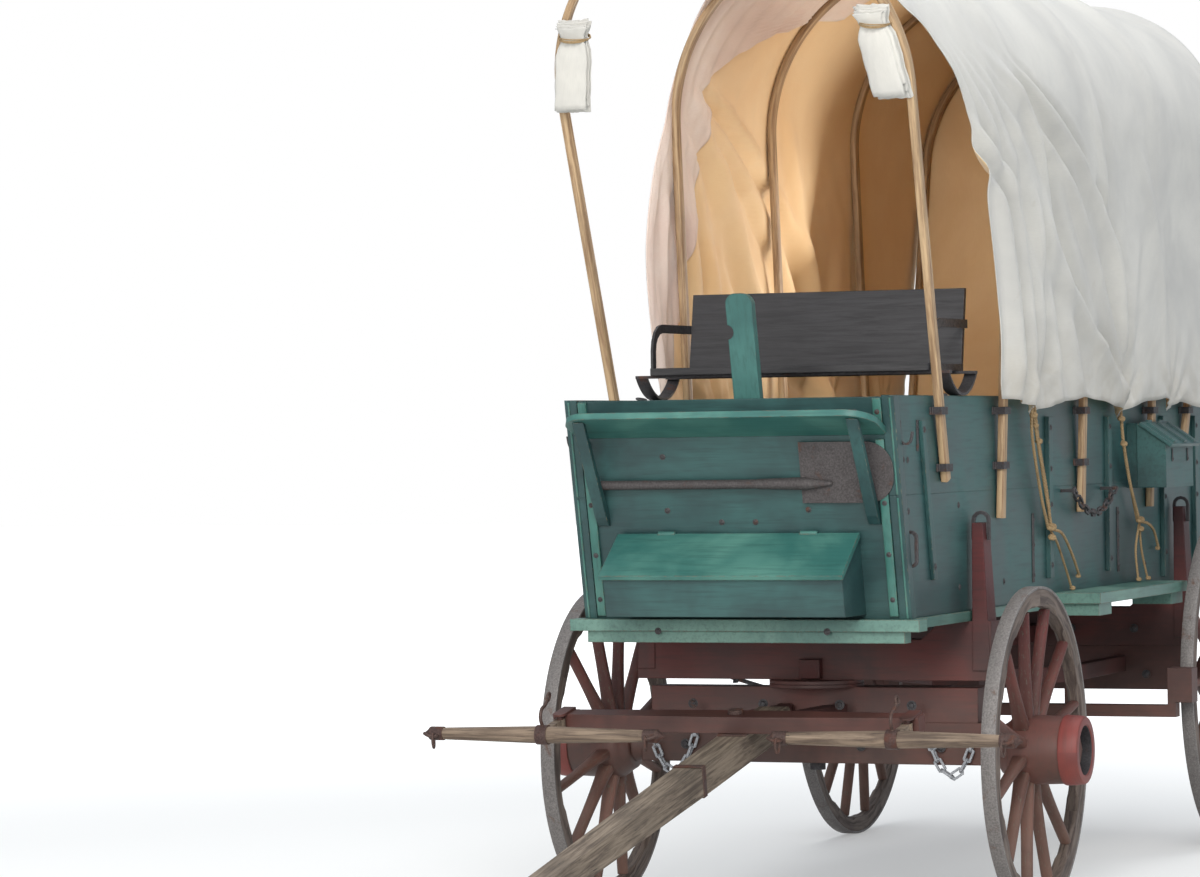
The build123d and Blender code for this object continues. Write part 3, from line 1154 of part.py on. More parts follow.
# Iron stop under the tongue, behind the yoke
STOP_BACK = 330.0
STOP_H = 24.0
stop_x = PIVOT_X + TONGUE_L - STOP_BACK
stop_low = PIVOT_Z - tongue_half_height(stop_x + 30) - STOP_H
tongue_stop = side_plate([(stop_x - 45, PIVOT_Z - tongue_half_height(stop_x - 45) - FIT_GAP),
                          (stop_x + 30, PIVOT_Z - tongue_half_height(stop_x + 30) - FIT_GAP),
                          (stop_x + 30, stop_low), (stop_x, stop_low)], -16, 16)
tongue_irons.append(tongue_stop)
doubletree = plan_plate([(tree_x - DOUBLETREE_MID_W / 2, -70), (tree_x - DOUBLETREE_MID_W / 2, 70),
                         (tree_x - DOUBLETREE_END_W / 2, DOUBLETREE_HALF),
                         (tree_x + DOUBLETREE_END_W / 2, DOUBLETREE_HALF),
                         (tree_x + DOUBLETREE_MID_W / 2, 70), (tree_x + DOUBLETREE_MID_W / 2, -70),
                         (tree_x + DOUBLETREE_END_W / 2, -DOUBLETREE_HALF),
                         (tree_x - DOUBLETREE_END_W / 2, -DOUBLETREE_HALF)], tree_z0, tree_z1)
doubletree -= rod((tree_x, 0, tree_z0 - 10), (tree_x, 0, tree_z1 + 10), TREE_PIN_R + RUN_GAP)

single_pin = (tree_x + DOUBLETREE_END_W / 2 + 24, SINGLE_PIVOT_Y)
single_x = tree_x + SINGLE_AHEAD
tree_mid = (tree_z0 + tree_z1) / 2
CLIP_T = 8.0
ear_r = 22.0
for sign in (-1, 1):
    for z in (tree_z0 - CLIP_T, tree_z1):
        clip = block(tree_x - DOUBLETREE_END_W / 2 - CLIP_T, single_pin[0],
                     sign * SINGLE_PIVOT_Y - ear_r, sign * SINGLE_PIVOT_Y + ear_r, z, z + CLIP_T)
        clip += rod((single_pin[0], sign * SINGLE_PIVOT_Y, z),
                    (single_pin[0], sign * SINGLE_PIVOT_Y, z + CLIP_T), ear_r)
        doubletree += clip
    doubletree += block(tree_x - DOUBLETREE_END_W / 2 - CLIP_T, tree_x - DOUBLETREE_END_W / 2,
                        sign * SINGLE_PIVOT_Y - ear_r, sign * SINGLE_PIVOT_Y + ear_r,
                        tree_z0 - CLIP_T, tree_z1 + CLIP_T)
    doubletree += rod((single_pin[0], sign * SINGLE_PIVOT_Y, tree_z0 - CLIP_T),
                      (single_pin[0], sign * SINGLE_PIVOT_Y, tree_z1 + CLIP_T), 11)


def swelled_bar(centre, half_length, ferrule, end_r, mid_r, mid_half):
    """A bar along Y with a round ferrule at each end and a shaved swell to its middle."""
    x, y, z = centre
    bar = rod((x, y - half_length, z), (x, y + half_length, z), end_r)
    middle = rod((x, y - mid_half, z), (x, y + mid_half, z), mid_r * 0.98)
    bar += middle
    for side in (-1, 1):
        start = (x, y + side * mid_half, z)
        end = (x, y + side * (half_length - ferrule), z)
        bar += shaved_bar(start, end, mid_r, end_r * 1.04)
    return bar


def singletree():
    """Left-hand singletree with its iron eye round the pin of the doubletree's end clip."""
    bar = swelled_bar((single_x, SINGLE_PIVOT_Y, tree_mid), SINGLE_HALF, SINGLE_FERRULE,
                      SINGLE_END_R, SINGLE_MID_R, 30)
    eye = rod((single_pin[0], SINGLE_PIVOT_Y, tree_mid - 16),
              (single_pin[0], SINGLE_PIVOT_Y, tree_mid + 16), 19)
    eye += block(single_pin[0], single_x, SINGLE_PIVOT_Y - 13, SINGLE_PIVOT_Y + 13, tree_mid - 16,
                 tree_mid + 16)
    eye -= rod((single_pin[0], SINGLE_PIVOT_Y, tree_mid - 40),
               (single_pin[0], SINGLE_PIVOT_Y, tree_mid + 40), 11 + RUN_GAP)
    return bar + eye


single_left = singletree()
single_right = mirrored(single_left)

yoke_x = PIVOT_X + TONGUE_L - YOKE_BACK
yoke_z = PIVOT_Z + TONGUE_TIP / 2 + 12 + YOKE_MID_R
yoke = swelled_bar((yoke_x, 0, yoke_z), YOKE_HALF, YOKE_FERRULE, YOKE_END_R, YOKE_MID_R, 130)

# The yoke turns on a pin that stands on a saddle round the tongue
SADDLE_T = 6.0
SADDLE_L = 46.0
SADDLE_GAP = 0.9
saddle_half = TONGUE_TIP / 2 + SADDLE_GAP
saddle_top = yoke_z - YOKE_MID_R - BAR_GAP
saddle = block(yoke_x - SADDLE_L / 2, yoke_x + SADDLE_L / 2, -saddle_half - SADDLE_T,
               saddle_half + SADDLE_T, PIVOT_Z - saddle_half - SADDLE_T, saddle_top)

# Lower everything about the tongue pin
tip_drop = TONGUE_TIP / 2 + TONGUE_CAP_T + FIT_GAP
DROP_DEG = math.degrees(math.asin(PIVOT_Z / math.hypot(TONGUE_L, tip_drop))
                        - math.atan2(tip_drop, TONGUE_L))


def lowered(shape):
    """Turn a level piece of the tongue down about the tongue pin."""
    return Pos(PIVOT_X, 0, PIVOT_Z) * Rot(0, DROP_DEG, 0) * Pos(-PIVOT_X, 0, -PIVOT_Z) * shape


YOKE_PIN_R = 10.0
yoke_pin = rod((yoke_x, 0, saddle_top), (yoke_x, 0, yoke_z + YOKE_MID_R + 12), YOKE_PIN_R)
yoke_pin += rod((yoke_x, 0, yoke_z + YOKE_MID_R + BAR_GAP), (yoke_x, 0, yoke_z + YOKE_MID_R + 12),
                YOKE_PIN_R * 1.9)
yoke -= rod((yoke_x, 0, yoke_z - YOKE_MID_R * 2), (yoke_x, 0, yoke_z + YOKE_MID_R * 2),
            YOKE_PIN_R + RUN_GAP)
tongue_space = extrude(Plane(origin=(yoke_x - SADDLE_L, 0, PIVOT_Z), x_dir=(0, 1, 0),
                             z_dir=(1, 0, 0)) * Rectangle(2 * saddle_half, 2 * saddle_half),
                       amount=SADDLE_L * 2)
saddle = saddle - tongue_space + yoke_pin
tongue_irons.append(saddle)

add("tongue", lowered(tongue))
add("tongue_irons", lowered(Compound(children=[s for p in tongue_irons for s in p.solids()])))
add("doubletree", lowered(doubletree))
add("singletree_left", lowered(single_left))
add("singletree_right", lowered(single_right))
add("neck_yoke", lowered(yoke))

# Shift the wagon so that its origin is under the middle of its length, then write it out

whole = Compound(children=[solid for shape in PARTS.values() for solid in shape.solids()])
extent = whole.bounding_box()
SHIFT_X = -(extent.min.X + extent.max.X) / 2
os.makedirs("parts", exist_ok=True)
for name, shape in PARTS.items():
    solids = [Pos(SHIFT_X, 0, 0) * solid for solid in shape.solids()]
    piece = solids[0] if len(solids) == 1 else Compound(children=solids)
    export_step(piece, f"parts/{name}.step")
print(f"shift_x {SHIFT_X:.3f} drop {DROP_DEG:.4f} size {extent.size}")
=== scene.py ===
"""Covered farm wagon: paint, timber, iron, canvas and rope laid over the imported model.

Metres, +X forward, +Y to the wagon's left, +Z up. A station is measured along the wagon from the
front axle, and at() turns it into an X of the model's frame.
"""

import logging
import math
from collections.abc import Sequence
from dataclasses import dataclass, field
from enum import Enum

import bmesh
import bpy
import numpy as np
from mathutils import Matrix, Vector


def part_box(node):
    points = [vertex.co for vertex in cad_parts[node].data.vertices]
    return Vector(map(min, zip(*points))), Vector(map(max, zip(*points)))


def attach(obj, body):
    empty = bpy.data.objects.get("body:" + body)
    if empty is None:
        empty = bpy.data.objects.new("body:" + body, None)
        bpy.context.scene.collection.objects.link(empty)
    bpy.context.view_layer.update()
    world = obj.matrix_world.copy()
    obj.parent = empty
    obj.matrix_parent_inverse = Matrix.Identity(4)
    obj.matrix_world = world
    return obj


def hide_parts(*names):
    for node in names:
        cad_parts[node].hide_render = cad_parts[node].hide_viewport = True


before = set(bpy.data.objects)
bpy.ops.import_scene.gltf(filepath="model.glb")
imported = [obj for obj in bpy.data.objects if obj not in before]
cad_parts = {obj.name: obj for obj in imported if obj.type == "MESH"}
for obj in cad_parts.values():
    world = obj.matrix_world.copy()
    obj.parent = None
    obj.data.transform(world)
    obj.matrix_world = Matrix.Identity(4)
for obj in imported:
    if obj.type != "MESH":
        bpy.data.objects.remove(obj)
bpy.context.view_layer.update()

log = logging.getLogger("wagon")
Array = np.ndarray
Number = Array | float
Place = Sequence[float] | Array
Colour = tuple[float, float, float]
Piece, Material, Socket = bpy.types.Object, bpy.types.Material, bpy.types.NodeSocket
Value = Socket | Colour | float
Finishes = dict[str, Material]

FRONT_AXLE_X = sum(corner.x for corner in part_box("wheel_front_left_tyre")) / 2
BOX_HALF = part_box("side_upper_left")[1].y
BOX_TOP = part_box("side_upper_left")[1].z
TAU = 2 * math.pi
# Tongue's pin as station and height, and how far the parked tongue hangs below level
PIVOT = (0.450, 0.680)
DROP = math.radians(10.3126)
# How far the front board leans forward for each metre of its height
RAKE = 0.22


def at(station: float) -> float:
    """Turn a station measured from the front axle into an X of the model's frame."""
    return station + FRONT_AXLE_X


def tint(red: int, green: int, blue: int) -> Colour:
    """Turn a colour as it is seen, 0 to 255 a channel, into the linear light a shader takes."""
    seen = np.array([red, green, blue]) / 255
    return tuple(np.where(seen <= 0.04045, seen / 12.92, ((seen + 0.055) / 1.055) ** 2.4).tolist())


def darker(colour: Colour, share: float) -> Colour:
    """Give a share of a colour's light."""
    return tuple(channel * share for channel in colour)


class Grain(Enum):
    """The way that the grain of a timber runs: how much finer a pattern is along each axis."""

    ALONG = (1.0, 16.0, 16.0)
    ACROSS = (16.0, 1.0, 16.0)
    UPRIGHT = (16.0, 16.0, 1.0)


@dataclass
class Bench:
    """A workbench on which one material's nodes are wired together."""

    name: str
    layer: str = "Object"
    tip_deg: float = 0.0

    def __post_init__(self) -> None:
        """Start a material with one principled shader."""
        self.material = bpy.data.materials.new(self.name)
        self.material.use_nodes = True
        self.tree = self.material.node_tree
        self.shader = self.tree.nodes["Principled BSDF"]

    def feed(self, socket: Socket, value: Value) -> None:
        """Link an output to a socket, or set the socket's own value.

        Args:
            socket: Input that is fed.
            value: Output or plain value.
        """
        if isinstance(value, Socket):
            self.tree.links.new(value, socket)
        else:
            socket.default_value = value

    def shade(self, name: str, value: Value | tuple) -> None:
        """Feed one input of the shader."""
        self.feed(self.shader.inputs[name], value)

    def node(self, kind: str, feeds: dict, **settings: object) -> bpy.types.Node:
        """Add a node.

        Args:
            kind: Kind of shader node.
            feeds: Output or value for each input.
            settings: Plain properties.

        Returns:
            The node.
        """
        made = self.tree.nodes.new("ShaderNode" + kind)
        for key, value in settings.items():
            setattr(made, key, value)
        for key, value in feeds.items():
            self.feed(made.inputs[key], value)
        return made

    def place(self, stretch: tuple | None = None, layer: str = "Object") -> Socket:
        """Give the coordinates of a pattern, tipped about Y and then stretched if it is grain.

        Args:
            stretch: How much finer it is along each axis, if it is grain.
            layer: Coordinates it is read from: the object's, or its map of the surface.

        Returns:
            The coordinates.
        """
        found = self.node("TexCoord", {}).outputs[layer]
        if stretch is None:
            return found
        tip = {"Vector": found, "Rotation": (0.0, math.radians(self.tip_deg), 0.0)}
        found = self.node("Mapping", tip).outputs[0]
        return self.node("Mapping", {"Vector": found, "Scale": stretch}).outputs[0]

    def noise(self, scale: float, detail: float = 5.0, rough: float = 0.55, warp: float = 0.0,
              stretch: tuple | None = None, layer: str = "") -> Socket:
        """Add fractal noise.

        Args:
            scale: Lumps in a metre.
            detail: Number of finer layers.
            rough: Weight of the finer layers.
            warp: Distortion.
            stretch: How much finer it is along each axis, if it is grain.
            layer: Coordinates it is read from, if they aren't the bench's own.

        Returns:
            Its grey value.
        """
        return self.node("TexNoise", {
            "Vector": self.place(stretch, layer or self.layer), "Scale": scale, "Detail": detail,
            "Roughness": rough, "Distortion": warp}).outputs["Fac"]

    def height(self) -> Socket:
        """Give the height above the ground."""
        return self.node("SeparateXYZ", {0: self.place()}).outputs["Z"]

    def fade(self, value: Value, low: float, high: float, start: float = 0.0,
             end: float = 1.0) -> Socket:
        """Map a value smoothly from low..high to start..end, held at both ends.

        Args:
            value: Value to map.
            low: Value where the change starts.
            high: Value where it ends.
            start: Result at the low value and before.
            end: Result at the high value and after.

        Returns:
            The mapped value.
        """
        return self.node("MapRange", {
            "Value": value, "From Min": low, "From Max": high, "To Min": start, "To Max": end},
            interpolation_type="SMOOTHSTEP").outputs["Result"]

    def sum(self, operation: str, first: Value, second: Value) -> Socket:
        """Work out one sum of two values."""
        return self.node("Math", {0: first, 1: second}, operation=operation).outputs[0]

    def blend(self, share: Value, first: Value, second: Value) -> Socket:
        """Blend two colours by a share; the colours are the mixing node's inputs 6 and 7."""
        one, two = ((*tone, 1.0) if isinstance(tone, tuple) else tone for tone in (first, second))
        return self.node("Mix", {0: share, 6: one, 7: two}, data_type="RGBA").outputs[2]

    def worn_edge(self, radius: float) -> tuple[Socket, Socket]:
        """Find the rubbed edges, where the normal rounded within a radius leaves the face's own.

        Args:
            radius: How far from the edge the wear reaches.

        Returns:
            The edge mask and the rounded normal.
        """
        soft = self.node("Bevel", {"Radius": radius}, samples=4).outputs["Normal"]
        face = self.node("NewGeometry", {}).outputs["Normal"]
        dot = self.node("VectorMath", {0: soft, 1: face}, operation="DOT_PRODUCT")
        return self.fade(dot.outputs["Value"], 0.995, 0.86), soft

    def finish(self, colour: Value, rough: Value, height: Socket | None = None,
               depth: float = 0.001, strength: float = 0.6, normal: Socket | None = None) -> Material:
        """Feed the shader and give the surface its relief.

        Args:
            colour: Base colour.
            rough: Roughness.
            height: Height pattern.
            depth: Metres that the height stands for.
            strength: Share of the relief that shows.
            normal: Normal that the relief starts from.

        Returns:
            The material.
        """
        self.shade("Base Color", colour)
        self.shade("Roughness", rough)
        if height is not None:
            relief = self.node("Bump", {"Strength": strength, "Distance": depth, "Height": height})
            if normal is not None:
                self.feed(relief.inputs["Normal"], normal)
            self.shade("Normal", relief.outputs["Normal"])
        return self.material


@dataclass(frozen=True)
class Paint:
    """Brushed paint on planks: faded in patches, rubbed through at edges, dusty low down."""

    name: str
    coat: Colour
    faded: Colour
    bare: Colour
    grain: Grain = Grain.ALONG
    wear: float = 0.5
    dust: float = 0.35
    gloss: float = 0.45
    layer: str = "Object"

    def make(self) -> Material:
        """Wire the paint: fade by patches, streaks along the grain, chips, edge wear and dust.

        Returns:
            The material.
        """
        bench = Bench(self.name, self.layer)
        stretch = self.grain.value
        streak = bench.noise(5.0, detail=7.0, rough=0.62, warp=0.3, stretch=stretch)
        patch = bench.noise(2.3, detail=4.0, rough=0.6, warp=0.4)
        # Chips are drawn out along the grain too, but far less than the streaks
        short = tuple(1 + (finer - 1) / 6 for finer in stretch)
        fleck = bench.noise(34.0, detail=8.0, rough=0.7, stretch=short)
        edge, soft = bench.worn_edge(0.006)
        faded = bench.blend(bench.fade(patch, 0.35, 0.68), self.coat, self.faded)
        streaked = bench.blend(bench.fade(streak, 0.42, 0.78, 0.0, 0.5), faded, darker(self.coat, 0.45))
        chip = bench.sum("ADD", fleck, bench.sum("MULTIPLY", edge, 0.30 * self.wear))
        chip = bench.fade(chip, 0.80 - 0.16 * self.wear, 0.86 - 0.16 * self.wear)
        worn = bench.blend(chip, streaked, self.bare)
        dusty = bench.sum("MULTIPLY", bench.fade(bench.height(), 1.2, 0.15, 0.0, self.dust),
                          bench.fade(patch, 0.25, 0.6, 0.45, 1.0))
        rough = bench.fade(bench.sum("ADD", patch, chip), 0.3, 1.2, self.gloss, 0.85)
        height = bench.sum("SUBTRACT", bench.sum("MULTIPLY", streak, 0.8), chip)
        return bench.finish(bench.blend(dusty, worn, tint(150, 136, 116)), rough, height,
                            depth=0.0012, strength=0.55, normal=soft)


@dataclass(frozen=True)
class Timber:
    """Bare timber weathered to grey, with its grain, dark checks and rubbed edges."""

    name: str
    light: Colour
    dark: Colour
    grain: Grain = Grain.ALONG
    check: float = 0.5
    tip_deg: float = 0.0
    layer: str = "Object"
    rough: float = 0.72

    def make(self) -> Material:
        """Wire the timber: rings stretched along the grain, checks, stains and edge wear.

        Returns:
            The material.
        """
        bench = Bench(self.name, self.layer, self.tip_deg)
        stretch = self.grain.value
        ring = bench.noise(4.0, detail=8.0, rough=0.66, warp=0.5, stretch=stretch)
        broad = bench.noise(3.0, detail=4.0, rough=0.6)
        long = tuple(finer * 2.2 for finer in stretch)
        crack = bench.noise(2.6, detail=3.0, rough=0.5, warp=0.2, stretch=long)
        edge, soft = bench.worn_edge(0.004)
        body = bench.blend(bench.fade(ring, 0.34, 0.66), self.dark, self.light)
        stain = bench.fade(broad, 0.45, 0.75, 0.0, 0.55)
        body = bench.blend(stain, body, darker(self.dark, 0.55))
        slit = bench.fade(crack, 0.66, 0.72, 0.0, self.check)
        split = bench.blend(slit, body, darker(self.dark, 0.22))
        rough = bench.fade(ring, 0.2, 0.8, self.rough + 0.1, self.rough - 0.12)
        return bench.finish(bench.blend(bench.sum("MULTIPLY", edge, 0.4), split, self.light), rough,
                            bench.sum("SUBTRACT", ring, slit), depth=0.0012, normal=soft)


@dataclass(frozen=True)
class Iron:
    """Hand-worked iron: scaled and pitted, with rust in patches and bright rubbed edges."""

    name: str
    scale: Colour
    rust: Colour
    bright: Colour
    rusty: float = 0.4
    rub: float = 0.5
    rough: float = 0.55

    def make(self) -> Material:
        """Wire the iron: fine speckle, rust patches, pitted relief and rubbed edges.

        Returns:
            The material.
        """
        bench = Bench(self.name)
        speck = bench.noise(160.0, detail=6.0, rough=0.75)
        patch = bench.noise(14.0, detail=6.0, rough=0.65, warp=0.6)
        edge, soft = bench.worn_edge(0.003)
        lighter = tuple(channel * 1.9 + 0.01 for channel in self.scale)
        body = bench.blend(bench.fade(speck, 0.35, 0.7), self.scale, tuple(np.minimum(1.0, lighter)))
        rust = bench.fade(patch, 0.66 - 0.3 * self.rusty, 0.78 - 0.2 * self.rusty, 0.0, 0.85)
        body = bench.blend(rust, body, self.rust)
        bench.shade("Metallic", 0.35)
        return bench.finish(bench.blend(bench.sum("MULTIPLY", edge, self.rub), body, self.bright),
                            bench.fade(patch, 0.3, 0.7, self.rough, self.rough + 0.25),
                            bench.sum("ADD", speck, bench.sum("MULTIPLY", patch, 2.0)),
                            depth=0.0006, strength=0.5, normal=soft)


@dataclass(frozen=True)
class Duck:
    """Cotton duck: plain weave, slubs, clouds of shade, stains towards the hem."""

    name: str
    cloth: Colour
    shade: Colour
    stain: Colour
    stain_share: float = 0.35
    threads: float = 190.0

    def make(self) -> Material:
        """Wire the cloth: two crossed bands of threads, slubs, clouds, and stains at the hem.

        Returns:
            The material.
        """
        bench = Bench(self.name)
        bands = [bench.node("TexWave", {"Vector": bench.place((1.0, 1.0, 1.0), "UV"),
                                        "Scale": self.threads, "Distortion": 0.6},
                            wave_type="BANDS", bands_direction=way).outputs["Fac"] for way in "XY"]
        slub = bench.noise(30.0, rough=0.6, stretch=(1.0, 9.0, 1.0), layer="UV")
        cloud = bench.noise(1.7, rough=0.6, warp=0.5)
        fine = bench.noise(9.0, detail=6.0, rough=0.6, warp=0.8)
        body = bench.blend(bench.fade(cloud, 0.3, 0.72), self.cloth, self.shade)
        body = bench.blend(bench.fade(slub, 0.4, 0.7, 0.0, 0.25), body, self.shade)
        low = bench.fade(bench.height(), BOX_TOP + 0.32, BOX_TOP - 0.05, 0.0, self.stain_share)
        low = bench.sum("MULTIPLY", low, bench.fade(fine, 0.35, 0.65, 0.3, 1.0))
        spots = bench.fade(fine, 0.66, 0.8, 0.0, self.stain_share * 0.8)
        weave = bench.sum("MULTIPLY", bench.sum("ADD", *bands), 0.5)
        bench.shade("Sheen Weight", 0.25)
        bench.shade("Sheen Roughness", 0.6)
        return bench.finish(bench.blend(bench.sum("MAXIMUM", low, spots), body, self.stain), 0.88,
                            bench.sum("ADD", weave, bench.sum("MULTIPLY", fine, 2.5)),
                            depth=0.0012, strength=0.35)


@dataclass(frozen=True)
class Hemp:
    """Laid hemp rope with stray fibres, in the tan of old cordage."""

    name: str
    light: Colour
    dark: Colour

    def make(self) -> Material:
        """Wire the rope: fibres along the strands and dirt between them.

        Returns:
            The material.
        """
        bench = Bench(self.name)
        fibre = bench.noise(40.0, detail=6.0, rough=0.7, stretch=(3.0, 40.0, 1.0), layer="UV")
        body = bench.blend(bench.fade(fibre, 0.3, 0.7), self.dark, self.light)
        dirt = bench.fade(bench.noise(22.0, rough=0.6), 0.5, 0.75, 0.0, 0.6)
        return bench.finish(bench.blend(dirt, body, darker(self.dark, 0.4)), 0.9, fibre,
                            depth=0.0008, strength=0.7)


def mixed() -> Finishes:
    """Mix the paints, timbers, irons, cloths and rope, each by its name.

    Returns:
        The materials by name.
    """
    teal = (tint(25, 55, 56), tint(44, 84, 82), tint(116, 112, 92))
    ox = (tint(48, 7, 9), tint(80, 16, 16), tint(58, 44, 36))
    grey_wood = tint(104, 92, 78)
    across, upright = Grain.ACROSS, Grain.UPRIGHT
    kinds = (
        Paint("green_boards", *teal),
        Paint("green_posts", *teal, upright, wear=0.6),
        Paint("green_across", *teal, across),
        Paint("light_green", tint(46, 96, 90), tint(84, 132, 120), grey_wood, across, wear=0.7),
        Paint("light_green_posts", tint(48, 98, 90), tint(84, 130, 120), grey_wood, upright, wear=0.7),
        Paint("light_green_steps", tint(60, 100, 92), tint(100, 136, 124), grey_wood, wear=0.8),
        Paint("seat_green", tint(36, 82, 78), tint(58, 106, 100), grey_wood, upright),
        Paint("red_gear", *ox, wear=0.55, dust=0.14, gloss=0.6),
        Paint("red_across", *ox, across, wear=0.55, dust=0.22, gloss=0.5),
        Paint("red_upright", *ox, upright, wear=0.6, dust=0.2),
        Paint("hub_red", tint(92, 18, 20), tint(124, 30, 28), tint(58, 44, 38),
              wear=0.7, dust=0.15, gloss=0.5, layer="UV"),
        Paint("spoke_red", tint(66, 14, 15), tint(96, 34, 32), tint(84, 72, 64),
              wear=1.5, dust=0.3, gloss=0.62, layer="UV"),
        Timber("felloe_wood", tint(112, 98, 88), tint(62, 50, 46), check=0.6, layer="UV"),
        Timber("ash", tint(184, 156, 120), tint(134, 106, 78), check=0.25, layer="UV", rough=0.6),
        Timber("grey_pole", tint(128, 114, 98), tint(72, 60, 50), check=0.8, tip_deg=-10.3),
        Timber("grey_bar", tint(130, 112, 94), tint(76, 62, 52), across, check=0.8),
        Timber("dark_floor", tint(96, 86, 72), tint(52, 44, 38), check=0.6),
        Timber("seat_leather", tint(44, 42, 44), tint(24, 22, 24), across, check=0.1, rough=0.5),
        Iron("dark_iron", tint(46, 44, 46), tint(92, 56, 38), tint(120, 118, 116)),
        Iron("tyre_iron", tint(96, 92, 90), tint(96, 66, 50), tint(168, 164, 160),
             rusty=0.3, rub=0.7, rough=0.5),
        Iron("shovel_steel", tint(58, 54, 54), tint(84, 58, 46), tint(122, 114, 108), rusty=0.25),
        Iron("chain_steel", tint(132, 134, 138), tint(110, 80, 60), tint(190, 192, 196),
             rusty=0.15, rough=0.38),
        Iron("rust_iron", tint(56, 40, 36), tint(84, 48, 36), tint(116, 92, 78), rusty=0.6),
        Duck("canvas", tint(204, 201, 193), tint(180, 178, 173), tint(154, 141, 118)),
        # The inside's bright warm tan is painted light: it stands in for daylight shining through the cloth,
        # brighter than the cloth's own colour.
        Duck("canvas_inside", tint(240, 210, 164), tint(230, 194, 144), tint(200, 158, 110),
             stain_share=0.2),
        Duck("canvas_flap", tint(236, 222, 212), tint(216, 190, 178), tint(190, 164, 140),
             stain_share=0.15),
        Hemp("rope", tint(178, 152, 112), tint(120, 96, 66)))
    return {kind.name: kind.make() for kind in kinds}


def linked(name: str, data: bpy.types.ID) -> Piece:
    """Put data into an object of the scene.

    Args:
        name: Name of the object.
        data: Its mesh, lamp or camera.

    Returns:
        The object.
    """
    made = bpy.data.objects.new(name, data)
    bpy.context.scene.collection.objects.link(made)
    return made


def fitted(piece: Piece, body: str, slot: str, *nodes: str) -> Piece:
    """Let a piece ride on a body and stand for solids.

    Args:
        piece: Piece to fit.
        body: Body that carries it.
        slot: Slot that it takes its finish from; not used.
        nodes: Solids that it stands for.

    Returns:
        The piece itself.
    """
    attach(piece, body)
    if nodes:
        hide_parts(*nodes)
    return piece


def joined(x: Number, y: Number, z: Number) -> Array:
    """Join three measures into points, each stretched to the shape of all."""
    return np.stack(np.broadcast_arrays(x, y, z), axis=-1)


def spread(along: Array, across: Array) -> Array:
    """Give each point of a grid its place along, by row, and across, by column."""
    return np.stack(np.meshgrid(along, across, indexing="ij"), axis=2)


@dataclass
class Form:
    """Grids of points gathered into one mesh, with a place along and across for every corner."""

    parts: list[tuple] = field(default_factory=list)
    count: int = 0

    def grid(self, points: Array, wrap: bool = False, cap: bool = False, paint: int = 0,
             places: Array | None = None) -> "Form":
        """Add one surface: each cell between two rows and two columns is a four-sided face.

        Args:
            points: Array of rows, columns and x, y, z.
            wrap: Whether the last column joins the first.
            cap: Whether the first and last rows are closed at their middle.
            paint: Number of the material on this surface.
            places: Along and across for each point, one more column where it wraps.

        Returns:
            The form itself.
        """
        rows, columns = points.shape[:2]
        ring = np.concatenate([points, points[:, :1]], axis=1) if wrap else points
        if places is None:
            steps = [np.linalg.norm(np.diff(ring, axis=axis), axis=2) for axis in (0, 1)]
            places = spread(*(np.append(0, np.cumsum(step.mean(axis=1 - axis)))
                              for axis, step in enumerate(steps)))
        if cap:
            first, last = (np.repeat(end.mean(axis=1, keepdims=True), columns, axis=1)
                           for end in (points[:1], points[-1:]))
            points = np.concatenate([first, points, last])
            places = np.concatenate([places[:1], places, places[-1:]])
            rows += 2
        index = np.arange(rows * columns).reshape(rows, columns) + self.count
        if wrap:
            index = np.concatenate([index, index[:, :1]], axis=1)
        quads, spots = (np.stack([cell[:-1, :-1], cell[:-1, 1:], cell[1:, 1:], cell[1:, :-1]], axis=2)
                        for cell in (index, places))
        self.parts.append((points.reshape(-1, 3), quads.reshape(-1, 4), spots.reshape(-1, 2),
                           np.full(quads.size // 4, paint)))
        self.count += rows * columns
        return self

    def build(self, name: str, coats: list[Material], smooth_deg: float = 40.0,
              closed: bool = True) -> Piece:
        """Put the gathered grids into one object at the origin.

        Args:
            name: Name of the piece.
            coats: Materials in the order of their numbers.
            smooth_deg: Edges sharper than this stay sharp.
            closed: Whether the surfaces are closed: doubles are merged and faces turned out.

        Returns:
            The new object.
        """
        points, quads, places, paints = (np.concatenate(kind) for kind in zip(*self.parts))
        mesh = bpy.data.meshes.new(name)
        mesh.vertices.add(len(points))
        mesh.vertices.foreach_set("co", points.astype(np.float32).ravel())
        mesh.loops.add(quads.size)
        mesh.loops.foreach_set("vertex_index", quads.astype(np.int32).ravel())
        mesh.polygons.add(len(quads))
        mesh.polygons.foreach_set("loop_start", np.arange(0, quads.size, 4, dtype=np.int32))
        mesh.update(calc_edges=True)
        layer = mesh.uv_layers.new(name="UVMap")
        layer.data.foreach_set("uv", places.astype(np.float32).ravel())
        mesh.polygons.foreach_set("material_index", paints.astype(np.int32))
        for coat in coats:
            mesh.materials.append(coat)
        if closed:
            work = bmesh.new()
            work.from_mesh(mesh)
            bmesh.ops.remove_doubles(work, verts=work.verts, dist=1e-6)
            bmesh.ops.dissolve_degenerate(work, edges=work.edges, dist=1e-7)
            bmesh.ops.recalc_face_normals(work, faces=work.faces)
            work.to_mesh(mesh)
            work.free()
        mesh.shade_smooth()
        mesh.set_sharp_from_angle(angle=math.radians(smooth_deg))
        return linked(name, mesh)


def sewn(name: str, points: Array, coats: list[Material], skin: float, offset: float = -1.0) -> Piece:
    """Sew a sheet: a grid that is given its thickness, with the last finish on its inside.

    Args:
        name: Name of the piece.
        points: Grid of the cloth.
        coats: Finish of the outside, then that of the inside if it has its own.
        skin: Thickness of the cloth.
        offset: Where the thickness grows: -1 inwards, 0 both ways.

    Returns:
        The piece.
    """
    piece = Form().grid(points).build(name, coats, smooth_deg=180.0, closed=False)
    cloth = piece.modifiers.new("cloth", "SOLIDIFY")
    cloth.thickness, cloth.offset, cloth.material_offset = skin, offset, len(coats) - 1
    return piece


